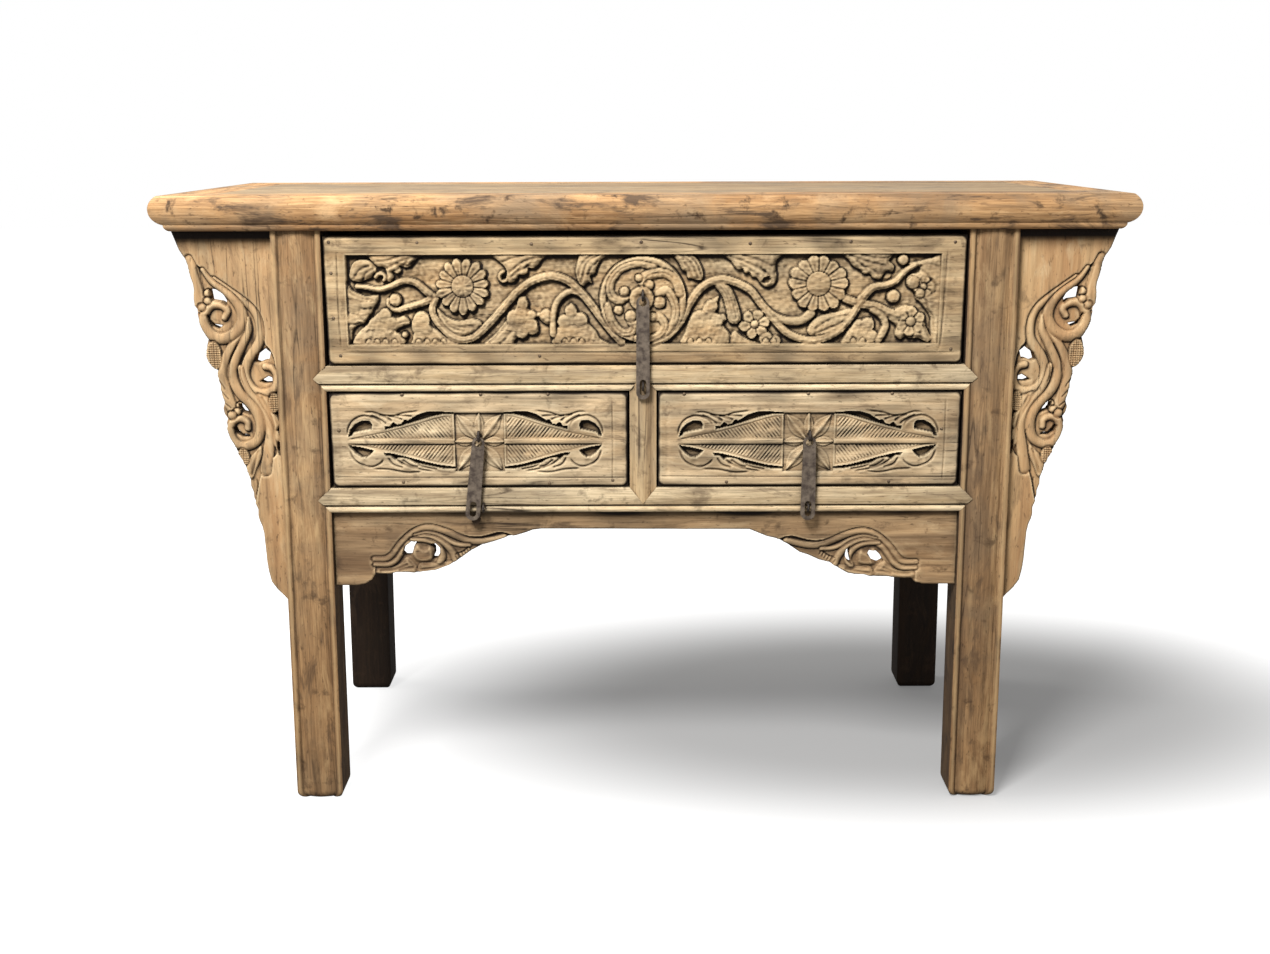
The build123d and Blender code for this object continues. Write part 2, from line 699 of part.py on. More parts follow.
# volutes, as (share of the reach, share of the drop, radius, start and turn in degrees), and
# outlines of the stems that join them
volutes = [(0.58, 0.23, 22.0, 130, 250), (0.16, 0.374, 18.0, -70, 250), (0.437, 0.524, 17.0, 110, 250)]
spandrel_stems = [[(0.8, 0.09), (0.62, 0.12), (0.45, 0.18), (0.33, 0.3), (0.38, 0.19), (0.57, 0.12)],
                  [(0.3, 0.25), (0.5, 0.34), (0.5, 0.42), (0.3, 0.5), (0.42, 0.41), (0.41, 0.34)],
                  [(0.2, 0.27), (0.34, 0.34), (0.35, 0.4), (0.22, 0.47), (0.29, 0.4), (0.28, 0.34)],
                  [(0.12, 0.46), (0.14, 0.52), (0.34, 0.64), (0.23, 0.55)]]
# plain outer edge of the rear boards: a long hollow over a short swelling foot
rear_edge = [(1.0, 0.0), (0.71, 0.2), (0.55, 0.55), (0.41, 0.83), (0.125, 1.0)]


def turned(x, z, radius, angle):
    """A point on a circle in the front view, the angle counted from +X towards +Z."""
    return (x + radius * cos(radians(angle)), z + radius * sin(radians(angle)))


def volute(side, x, z, radius, start, turn):
    """A moon-shaped rim that opens and closes in points round a whittled boss."""
    first = start if side > 0 else 180 - start
    step = side * turn
    tip, other_tip = turned(x, z, radius, first), turned(x, z, radius, first + step)
    through = turned(x, z, radius, first + step / 2)
    back = turned(x, z, radius * (1 - volute_boss), first + step / 2)
    boss = make_face(Pos(x, z) * RegularPolygon(radius * volute_boss, boss_sides).wire())
    return crescent(tip, through, other_tip, back), boss


def spandrel(side, back):
    """Openwork board under the overhang of the top, tongued into the leg."""
    foot_z = case_top - spandrel_drop

    def place(reach, drop):
        z = case_top - drop * spandrel_drop
        return (side * (leg_outer(z) + reach * spandrel_reach), z)

    points = [place(*point) for point in (rear_edge if back else spandrel_edge)]
    edge = [ThreePointArc(*points[index:index + 3]) for index in range(0, len(points) - 1, 2)]
    flats = [
        Line(points[-1], (side * leg_outer(foot_z), foot_z)),
        Line((side * leg_outer(foot_z), foot_z), (side * leg_outer(case_top), case_top)),
        Line((side * leg_outer(case_top), case_top), points[0]),
    ]
    depth = spandrel_recess + spandrel_thickness / 2
    y = (back_face - depth) if back else (front_face + depth)
    half = spandrel_thickness / 2
    board = front_prism(edge + flats, y - half, y + half)
    if not back:
        board = board - carved_ground(side, place, y - half, y - half + spandrel_relief)
        for eye in spandrel_eyes:
            outline = polygon(*[place(*point) for point in eye])
            board = board - front_prism(outline, y - half, y + half)
    tongue_half = spandrel_tongue_thickness / 2
    tongue = leaning(side, 0, spandrel_tongue, y - tongue_half, y + tongue_half,
                     foot_z + tenon_shoulder, case_top)
    return board, tongue


def carved_ground(side, place, y0, y1):
    """The sunk ground of a spandrel, with its volutes and stems left standing."""
    outside = [place(1.0, spandrel_field[-1][1]), place(1.0, spandrel_field[0][1])]
    ground = front_prism(polygon(*[place(*point) for point in spandrel_field], *outside), y0, y1)
    for stem in spandrel_stems:
        ground = ground - front_prism(polygon(*[place(*point) for point in stem]), y0, y1)
    for reach, drop, radius, start, turn in volutes:
        rim, boss = volute(side, *place(reach, drop), radius, start, turn)
        ground = ground - front_prism(rim, y0, y1)
        ground = ground - extrude(Plane.XZ.offset(-y0) * boss, amount=y0 - y1)
    return ground


tongues = {}
for side, label in ((-1, "left"), (1, "right")):
    for back, place_name in ((False, "front"), (True, "back")):
        board, tongue = spandrel(side, back)
        tongues[side, back] = tongue
        save(f"spandrel_{place_name}_{label}", board + tongue)


# ---------------------------------------------------------------- legs
def leg_section(side, back):
    """Square section with a moulded outer face: bead, quirk, swelling field, quirk, bead."""
    outward = 1 if back else -1
    face = outward * base_depth / 2
    inner = face - outward * leg_depth
    stops = [0, leg_bead, leg_bead + leg_groove, leg_width - leg_bead - leg_groove,
             leg_width - leg_bead, leg_width]
    xs = [-side * stop * cos(radians(leg_splay)) for stop in stops]
    low = face - outward * groove_depth
    edge = face - outward * bead_edge
    bead_top = face - outward * bead_crown
    return [
        Line((xs[0], inner), (xs[0], edge)),
        ThreePointArc((xs[0], edge), ((xs[0] + xs[1]) / 2, bead_top), (xs[1], edge)),
        Line((xs[1], edge), (xs[1], low)),
        Line((xs[1], low), (xs[2], low)),
        ThreePointArc((xs[2], low), ((xs[2] + xs[3]) / 2, face), (xs[3], low)),
        Line((xs[3], low), (xs[4], low)),
        Line((xs[4], low), (xs[4], edge)),
        ThreePointArc((xs[4], edge), ((xs[4] + xs[5]) / 2, bead_top), (xs[5], edge)),
        Line((xs[5], edge), (xs[5], inner)),
        Line((xs[5], inner), (xs[0], inner)),
    ]


def leg(side, back):
    """A moulded post, leant in about its foot, cut level at both ends and mortised."""
    spare = leg_width / 2
    post = extrude(Plane.XY.offset(-spare) * make_face(leg_section(side, back)),
                   amount=case_top + 2 * spare)
    post = Pos(side * leg_outer(0), 0, 0) * Rot(0, -side * leg_splay, 0) * post
    post = post & block(-foot_span, foot_span, -base_depth, base_depth, 0, case_top)
    post = post + leg_tenon_block(side, 1 if back else -1)
    post = post - tongues[side, back] - side_panels[side]
    for rail in side_rails[side]:
        post = post - rail
    if back:
        for rail in back_rails.values():
            post = post - rail
        for board in back_panels.values():
            post = post - board
    else:
        for rail in rail_blanks.values():
            post = post - rail
        post = post - apron_tongues()
    return post


for side, label in ((-1, "left"), (1, "right")):
    save(f"leg_front_{label}", leg(side, False))
    save(f"leg_back_{label}", leg(side, True))


# ---------------------------------------------------------------- runners
def runner(side, z_top):
    outer = leg_inner(z_top - runner_height / 2) - drawer_side_gap
    return block(side * outer, side * (outer - runner_width), rail_back, case_back_inner,
                 z_top - runner_height, z_top)


for side, label in ((-1, "left"), (1, "right")):
    save(f"upper_runner_{label}", runner(side, mid_rail_top))
    save(f"lower_runner_{label}", runner(side, lower_rail_top))

save("centre_bearer", block(post_centre - bearer_width / 2, post_centre + bearer_width / 2,
                            rail_back, case_back_inner, mid_rail_top - runner_height, mid_rail_top))
guide_half = post_width / 2 - drawer_side_gap
centre_runner = block(post_centre - bearer_width / 2, post_centre + bearer_width / 2,
                      rail_back, case_back_inner, lower_rail_top - runner_height, lower_rail_top)
centre_guide = block(post_centre - guide_half, post_centre + guide_half,
                     rail_back, case_back_inner, lower_rail_top, lower_rail_top + guide_height)
save("centre_runner", centre_runner + centre_guide)


# ---------------------------------------------------------------- drawers
def tails(x0, x1, z0, z1, count):
    """Half-blind dovetails on the front end of a drawer side."""
    pitch = (z1 - z0) / count
    parts = []
    for index in range(count):
        middle = z0 + (index + 0.5) * pitch
        root, end = pitch * tail_root, pitch * tail_end
        outline = polygon((drawer_front_back, middle - root),
                          (drawer_front_back - tail_length, middle - end),
                          (drawer_front_back - tail_length, middle + end),
                          (drawer_front_back, middle + root))
        parts.append(side_prism(outline, x0, x1))
    return parts


def drawer(name, x0, x1, z0, z1, runner_top, tail_count, carving):
    """Front, two dovetailed sides, back and bottom of one drawer."""
    side_foot = runner_top + drawer_rest_gap
    side_top = z1 - side_drop
    floor_foot = side_foot + bottom_rise
    floor_top = floor_foot + drawer_bottom
    inner0, inner1 = x0 + drawer_side, x1 - drawer_side
    back_y = drawer_end - drawer_back
    floor = block(inner0 - board_groove, inner1 + board_groove,
                  drawer_front_back - board_groove, drawer_end, floor_foot, floor_top)
    back = block(inner0 - board_groove, inner1 + board_groove, back_y, drawer_end,
                 floor_top, side_top)
    front = block(x0, x1, drawer_face, drawer_front_back, z0, z1)
    for cutter in carving:
        front = front - cutter
    for label, a, b in (("left", x0, inner0), ("right", inner1, x1)):
        side = block(a, b, drawer_front_back, drawer_end, side_foot, side_top)
        for tail in tails(a, b, side_foot, side_top, tail_count):
            side = side + tail
            front = front - tail
        save(f"{name}_side_{label}", side - floor - back)
    save(f"{name}_back", back)
    save(f"{name}_bottom", floor)
    return front - floor


def sunk(outline, depth):
    """A flat-bottomed cut into the face of a drawer front."""
    return front_prism(outline, drawer_face, drawer_face + depth)


def round_cut(x, z, radius, depth):
    """The same, round."""
    face = Plane.XZ.offset(-drawer_face) * Pos(x, z) * Circle(radius)
    return extrude(face, amount=-depth)


def facet_cut(x, z, radius, depth):
    """The same, round but left in flats by the chisel."""
    face = Plane.XZ.offset(-drawer_face) * Pos(x, z) * RegularPolygon(radius, boss_sides)
    return extrude(face, amount=-depth)


# ---------------------------------------------------------------- upper drawer
upper_half = leg_inner(case_top - drawer_top_gap) - drawer_side_gap
upper_foot, upper_head = mid_rail_top + drawer_foot_gap, case_top - drawer_top_gap
upper_middle = (upper_foot + upper_head) / 2
flower_spread = upper_half - flower_inset
# outlines of the leaves, in mm to the right of the table's middle and over the board's middle
border_leaves = [[(-357, 60), (-351, 44), (-341, 37), (-333, 25), (-330, 39), (-303, 50), (-290, 60)],
                 [(-198, 60), (-184, 44), (-182, 27), (-172, 24), (-166, 34), (-135, 54), (-130, 60)],
                 [(-82, 60), (-91, 37), (-84, 19), (-72, 25), (-66, 35), (-58, 53), (-47, 60)],
                 [(36, 60), (49, 39), (62, 28), (75, 27), (72, 48), (58, 60)],
                 [(106, 60), (121, 40), (137, 36), (151, 23), (168, 19), (171, 43), (179, 60)],
                 [(261, 60), (274, 43), (295, 34), (309, 27), (326, 42), (322, 60)]]
end_leaves = [[(-392, 22), (-366, 6), (-352, 8), (-358, -9), (-371, -29), (-387, -38), (-392, -53)],
              [(-388, 29), (-379, 25), (-366, 28), (-356, 42), (-366, 54), (-382, 48)],
              [(388, 52), (360, 50), (344, 29), (357, 11), (377, -23), (379, -51), (388, -52)],
              [(318, -23), (343, -8), (368, -23), (384, -45), (345, -50), (333, -38)]]
foot_leaves = [[(-384, -58), (-368, -32), (-348, -13), (-338, -10), (-311, -30), (-329, -41),
                (-318, -51), (-325, -58)],
               [(-306, -58), (-309, -33), (-301, -16), (-292, -14), (-284, -33), (-240, -58)],
               [(-275, -10), (-246, -27), (-216, -29), (-240, -47), (-270, -31)],
               [(-214, -58), (-188, -32), (-167, 3), (-158, 5), (-152, -13), (-131, -11), (-146, -26),
                (-142, -42), (-163, -49), (-176, -58)],
               [(-118, -58), (-120, -45), (-106, -22), (-98, -4), (-90, -16), (-77, -26), (-48, -58)],
               [(50, -58), (57, -31), (67, -16), (79, -6), (97, 5), (94, -16), (108, -25), (115, -58)],
               [(182, -58), (166, -29), (156, -16), (140, -22), (124, -33), (131, -46), (152, -58)],
               [(222, -27), (252, -17), (277, -17), (260, -41), (222, -49)],
               [(262, -58), (272, -37), (300, -24), (303, -39), (312, -58)]]
# the vine, as arcs: an end, a point on the way, the next end
vines = [[(-276, 3), (-240, -53), (-205, -29), (-122, 32), (-74, -2), (-53, -30), (-31, -56)],
         [(12, -56), (36, -40), (58, -6), (104, 28), (152, -4), (222, -54), (284, -2)],
         [(284, -2), (308, 15), (341, 37)]]


def field_point(point):
    return (point[0], upper_middle + point[1])


def vine_band(points):
    """A band of even width along the arc through three points."""
    arc = ThreePointArc(*[field_point(point) for point in points])
    rims = []
    for sign in (-1, 1):
        scale = 1 + sign * vine_width / 2 / arc.radius
        rims.append([arc.arc_center + (arc @ share - arc.arc_center) * scale for share in (0, 0.5, 1)])
    near, far = rims
    return [ThreePointArc(*near), Line(near[2], far[2]), ThreePointArc(*far[::-1]), Line(far[0], near[0])]


def flower(x, z):
    """A ring of petals, drawn as a star with shallow notches, round a boss in a groove."""
    tips = []
    for index in range(2 * flower_petals):
        radius = flower_radius * (petal_notch if index % 2 else 1)
        tips.append(turned(x, z, radius, 180 * index / flower_petals))
    groove = facet_cut(x, z, flower_boss + flower_groove, flower_groove)
    return sunk(polygon(*tips), field_depth), groove - facet_cut(x, z, flower_boss, flower_groove)


upper_ground = sunk(polygon((-upper_half + field_inset_left, upper_foot + field_inset_foot),
                            (upper_half - field_inset_right, upper_foot + field_inset_foot),
                            (upper_half - field_inset_right, upper_head - field_inset_head),
                            (-upper_half + field_inset_left, upper_head - field_inset_head)), field_depth)
for outline in border_leaves + end_leaves + foot_leaves:
    upper_ground = upper_ground - sunk(polygon(*[field_point(point) for point in outline]), field_depth)
for points in vines:
    for index in range(0, len(points) - 1, 2):
        upper_ground = upper_ground - sunk(vine_band(points[index:index + 3]), field_depth)
upper_ground = upper_ground - round_cut(upper_eye_x, upper_middle, medallion_radius, field_depth)
upper_cuts = [round_cut(upper_eye_x, upper_middle, medallion_radius - medallion_ring, medallion_bowl)
              - facet_cut(upper_eye_x, upper_middle, medallion_boss, medallion_bowl)]
for side in (-1, 1):
    petals, groove = flower(side * flower_spread, upper_middle + flower_rise)
    upper_ground = upper_ground - petals
    upper_cuts.append(groove)
upper_front = drawer("upper_drawer", -upper_half, upper_half, upper_foot, upper_head,
                     mid_rail_top, 3, [upper_ground] + upper_cuts)
save("upper_drawer_front", upper_front - shank_hole(upper_eye_x, upper_eye_height))
save("upper_ring_eye", ring_eye(upper_eye_x, upper_eye_height))

# ---------------------------------------------------------------- lower drawers
lower_foot, lower_head = lower_rail_top + drawer_foot_gap, mid_rail_foot - drawer_gap
lower_spans = {"left": (-lower_outer, post_left - drawer_side_gap, left_eye_x),
               "right": (post_right + drawer_side_gap, lower_outer, right_eye_x)}
# slots round one half of the lozenge: (share of the way from the block to the tip, mm over the rib)
lozenge_slots = [[(0, 41.5), (0.25, 42.5), (0.43, 31), (0.56, 28), (0.645, 20), (0.35, 28.5), (0, 38.5)],
                 [(0.993, 8), (0.972, 18), (0.89, 29), (0.783, 30), (0.769, 18), (0.944, 13)],
                 [(0.993, -3.5), (0.755, -10.5), (0.83, -21), (0.93, -15)],
                 [(0.67, -13.5), (0.44, -20), (0, -33.5), (0, -37), (0.37, -29), (0.56, -24), (0.65, -18)]]
# the two leaves of one half, over and under the rib
leaf_edge = [(0, 35), (0.3, 26.5), (0.6, 15.5), (0.9, 4)]


def petal(x, z, angle):
    """Pointed petal, cut with four flats, that leaves the pull at an angle."""
    middle = turned(x, z, petal_reach / 2, angle)
    return polygon(turned(x, z, -petal_lap, angle), turned(*middle, petal_half_width, angle + 90),
                   turned(x, z, petal_reach, angle), turned(*middle, petal_half_width, angle - 90))


def lozenge(x0, x1, eye_x, eye_z):
    """Cuts of a lower front: slots, sunk leaves on both sides of a rib, and petals on a block."""
    cuts = []
    for root, tip in ((eye_x - block_half_width, x0 + lozenge_inset),
                      (eye_x + block_half_width, x1 - lozenge_inset)):
        for slot in lozenge_slots:
            points = [(root + share * (tip - root), eye_z + rise) for share, rise in slot]
            cuts.append(sunk(polygon(*points), field_depth))
        for sign in (-1, 1):
            points = [(root + share * (tip - root), eye_z + sign * rise) for share, rise in leaf_edge]
            points.append((points[-1][0], eye_z + sign * rib_half_height))
            points.append((root, eye_z + sign * rib_half_height))
            cuts.append(sunk(polygon(*points), leaf_sink))
    block_corners = [(eye_x + across * block_half_width, eye_z + up * block_half_height)
                     for across, up in ((-1, -1), (1, -1), (1, 1), (-1, 1))]
    dish = sunk(polygon(*block_corners), block_sink)
    for angle in (50, 130, 230, 310):
        dish = dish - sunk(petal(eye_x, eye_z, angle), block_sink)
    return cuts + [dish]


for label, (x0, x1, eye_x) in lower_spans.items():
    rib_z = lower_eye_height - strap_hole
    front = drawer(f"lower_{label}_drawer", x0, x1, lower_foot, lower_head,
                   lower_rail_top, 2, lozenge(x0, x1, eye_x, rib_z))
    save(f"lower_{label}_drawer_front", front - shank_hole(eye_x, lower_eye_height))
    save(f"lower_{label}_ring_eye", ring_eye(eye_x, lower_eye_height))
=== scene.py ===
import bpy
import numpy as np
from math import cos, pi, radians, sin
from mathutils import Matrix, Vector


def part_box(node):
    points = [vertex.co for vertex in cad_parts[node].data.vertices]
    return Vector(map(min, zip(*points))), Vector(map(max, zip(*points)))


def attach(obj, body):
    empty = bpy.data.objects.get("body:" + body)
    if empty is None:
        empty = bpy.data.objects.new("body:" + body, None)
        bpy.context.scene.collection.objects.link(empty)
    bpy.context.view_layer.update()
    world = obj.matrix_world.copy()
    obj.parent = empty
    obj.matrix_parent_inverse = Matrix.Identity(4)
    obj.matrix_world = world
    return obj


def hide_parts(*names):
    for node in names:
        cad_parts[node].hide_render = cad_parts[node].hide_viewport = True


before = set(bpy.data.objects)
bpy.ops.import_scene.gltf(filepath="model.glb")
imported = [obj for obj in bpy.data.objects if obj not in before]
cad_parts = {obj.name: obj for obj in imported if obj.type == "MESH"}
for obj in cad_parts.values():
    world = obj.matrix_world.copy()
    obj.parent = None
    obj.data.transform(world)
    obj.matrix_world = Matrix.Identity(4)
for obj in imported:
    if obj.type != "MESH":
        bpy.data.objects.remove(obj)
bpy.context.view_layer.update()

# ------------------------------------------------------------------ room
# A floor of matt pale paper under soft studio light.  A broad lamp stands high in front and a
# weaker one hangs over the table, both to the left, and the world fills the shadows.  Where it is
# seen the paper glows white, except in an oval patch round the table that is painted as its
# shadow; inside that patch the lamps' shadows show.
LENS = 39.97
SENSOR = 36.0
CAMERA_PLACE = (-0.013, -2.087, 0.930)
CAMERA_PITCH = 13.80
CAMERA_TURN = 0.03
CAMERA_ROLL = -0.17
FLOOR_REACH = 12.0
PAPER_LIGHTING, PAPER_SEEN = 0.22, 0.32      # its grey where it lights the table, and where it is seen
SHADOW_MIDDLE = (0.4, 0.11, 0.0)
SHADOW_SQUEEZE = (1.0, 1.8, 1.0)             # the painted shadow's patch is longer than it is deep
SHADOW_CORE, SHADOW_END = 0.4, 1.1           # m from the painted shadow's middle, where the paper glows least and where it glows white
CORE_GLOW = 0.15
FILL_LIGHT = 0.34


def add(tree, kind, inputs=None, **settings):
    """Adds one node; inputs maps a socket's name or number to a value or another node's output."""
    made = tree.nodes.new(kind)
    for key, value in settings.items():
        setattr(made, key, value)
    for key, value in (inputs or {}).items():
        if isinstance(value, bpy.types.NodeSocket):
            tree.links.new(value, made.inputs[key])
        else:
            made.inputs[key].default_value = value
    return made


def new_material(name):
    """An empty node material and its tree, with the output node in place."""
    material = bpy.data.materials.new(name)
    material.use_nodes = True
    tree = material.node_tree
    tree.nodes.clear()
    return material, tree


def mesh_object(name, points, faces, material):
    """A mesh from an array of points (n x 3, metres) and a list of face arrays, each m x sides."""
    mesh = bpy.data.meshes.new(name)
    corners = np.concatenate([np.asarray(f, np.int32).ravel() for f in faces])
    sides = np.concatenate([np.full(len(f), np.shape(f)[1], np.int32) for f in faces])
    mesh.vertices.add(len(points))
    mesh.vertices.foreach_set("co", np.asarray(points, np.float32).ravel())
    mesh.loops.add(len(corners))
    mesh.loops.foreach_set("vertex_index", corners)
    mesh.polygons.add(len(sides))
    mesh.polygons.foreach_set("loop_start", np.cumsum(sides, dtype=np.int32) - sides)
    mesh.polygons.foreach_set("use_smooth", np.ones(len(sides), bool))
    mesh.update(calc_edges=True)
    mesh.materials.append(material)
    obj = bpy.data.objects.new(name, mesh)
    bpy.context.scene.collection.objects.link(obj)
    return obj


floor_paper, tree = new_material("matt_studio_floor")
path = add(tree, "ShaderNodeLightPath")
shade = add(tree, "ShaderNodeMapRange", {"Value": path.outputs["Is Camera Ray"], "To Min": PAPER_LIGHTING,
                                         "To Max": PAPER_SEEN}).outputs[0]
paper = add(tree, "ShaderNodeBsdfDiffuse", {"Color": shade})
spot = add(tree, "ShaderNodeTexCoord").outputs["Object"]
shifted = add(tree, "ShaderNodeVectorMath", {0: spot, 1: SHADOW_MIDDLE}, operation="SUBTRACT").outputs[0]
squeezed = add(tree, "ShaderNodeVectorMath", {0: shifted, 1: SHADOW_SQUEEZE}, operation="MULTIPLY").outputs[0]
away = add(tree, "ShaderNodeVectorMath", {0: squeezed}, operation="LENGTH").outputs["Value"]
# painted shadow: the glow is held low round the table and rises to white outside that patch
rise = add(tree, "ShaderNodeMapRange", {"Value": away, "From Min": SHADOW_CORE, "From Max": SHADOW_END,
                                        "To Min": CORE_GLOW, "To Max": 1.0},
           interpolation_type="SMOOTHSTEP")
seen = add(tree, "ShaderNodeMath", {0: path.outputs["Is Camera Ray"], 1: rise.outputs[0]},
           operation="MULTIPLY")
glow = add(tree, "ShaderNodeEmission", {"Strength": seen.outputs[0], "Color": (1.0, 1.0, 1.0, 1.0)})
both = add(tree, "ShaderNodeAddShader", {0: paper.outputs[0], 1: glow.outputs[0]})
add(tree, "ShaderNodeOutputMaterial", {"Surface": both.outputs[0]})

corners = [(x * FLOOR_REACH, y * FLOOR_REACH, 0) for x, y in ((-1, -1), (1, -1), (1, 1), (-1, 1))]
floor = mesh_object("studio_floor", corners, [[(0, 1, 2, 3)]], floor_paper)

world = bpy.data.worlds.new("studio")
bpy.context.scene.world = world
world.use_nodes = True
tree = world.node_tree
tree.nodes.clear()
path = add(tree, "ShaderNodeLightPath")
seen = add(tree, "ShaderNodeMath", {0: path.outputs["Is Camera Ray"], 1: path.outputs["Is Glossy Ray"]},
           operation="MAXIMUM")
fill = add(tree, "ShaderNodeBackground", {"Color": (1.0, 0.98, 0.96, 1.0), "Strength": FILL_LIGHT})
white = add(tree, "ShaderNodeBackground", {"Color": (1.0, 1.0, 1.0, 1.0), "Strength": 1.0})
mixed = add(tree, "ShaderNodeMixShader", {0: seen.outputs[0], 1: fill.outputs[0], 2: white.outputs[0]})
add(tree, "ShaderNodeOutputWorld", {"Surface": mixed.outputs[0]})


def lamp(name, place, target, size, watts, colour):
    """A square area lamp of that size in metres, turned towards its target."""
    data = bpy.data.lights.new(name, "AREA")
    data.size = size
    data.energy = watts
    data.color = colour
    obj = bpy.data.objects.new(name, data)
    bpy.context.scene.collection.objects.link(obj)
    obj.location = place
    way = Vector(target) - Vector(place)
    obj.rotation_euler = way.to_track_quat("-Z", "Y").to_euler()


lamp("key", (-1.0, 0.15, 2.9), (0.0, 0.0, 0.3), 1.1, 50.0, (1.0, 0.985, 0.96))
lamp("front", (-1.0, -2.3, 3.0), (0.0, 0.0, 0.5), 1.0, 178.0, (1.0, 0.99, 0.98))

camera = bpy.data.objects.new("camera", bpy.data.cameras.new("camera"))
bpy.context.scene.collection.objects.link(camera)
camera.data.lens = LENS
camera.data.sensor_width = SENSOR
camera.matrix_world = (Matrix.Translation(CAMERA_PLACE)
                       @ Matrix.Rotation(radians(CAMERA_TURN), 4, "Z")
                       @ Matrix.Rotation(radians(90 - CAMERA_PITCH), 4, "X")
                       @ Matrix.Rotation(radians(CAMERA_ROLL), 4, "Z"))
bpy.context.scene.camera = camera
bpy.context.scene.view_settings.view_transform = "Standard"


# ------------------------------------------------------------------ legs
# Four elm posts that lean in towards the top.  A moulding plane has run a bead, a quirk and a
# swelling field down each outer face; the feet are worn round.  Shade is painted dark into the
# quirks and over the sides and back of each post, most of all on the inner side.
MM = 0.001
LEG_WIDTH = 65.0
LEG_DEPTH = 58.0
LEG_TOP = 805.0
LEAN = 0.01396               # how far a leg's outer face moves in for each mm of height
LEG_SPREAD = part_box("leg_front_right")[1].x / MM
BEAD = 8.0
QUIRK = 4.5
FOOT_ROUND = 13.0
FOOT_TAPER = 1.7             # mm that width and depth lose for each mm of the round
RAILS = ("lower_rail_front", "mid_rail_front")
SHOULDER_ROWS = ((424, 462), (592, 629))     # heights of the rails' shoulders, where rows lie closer
SHOULDER_SINK = 8.0          # how deep a leg's face sinks under a shoulder
FACE_STEPS, SIDE_STEPS, BACK_STEPS = 66, 10, 12
BLACK = (0.0, 0.0, 0.0, 1.0)
WHITE = (1.0, 1.0, 1.0, 1.0)


def srgb(code):
    """An sRGB hex colour such as "#C9A87A" as linear red, green, blue and 1."""
    parts = [int(code[i:i + 2], 16) / 255 for i in (1, 3, 5)]
    linear = [c / 12.92 if c <= 0.04045 else ((c + 0.055) / 1.055) ** 2.4 for c in parts]
    return (*linear, 1.0)


def ramp(tree, value, stops):
    """A colour ramp over one value; stops are (place, colour) pairs."""
    made = add(tree, "ShaderNodeValToRGB", {0: value})
    bars = made.color_ramp.elements
    for index, (place, colour) in enumerate(stops):
        bar = bars[index] if index < 2 else bars.new(place)
        bar.position = place
        bar.color = colour
    return made.outputs["Color"]


def blend(tree, share, under, over, way="MIX"):
    """Lays one colour over another by that share."""
    made = add(tree, "ShaderNodeMix", {0: share, 6: under, 7: over}, data_type="RGBA", blend_type=way)
    return made.outputs[2]


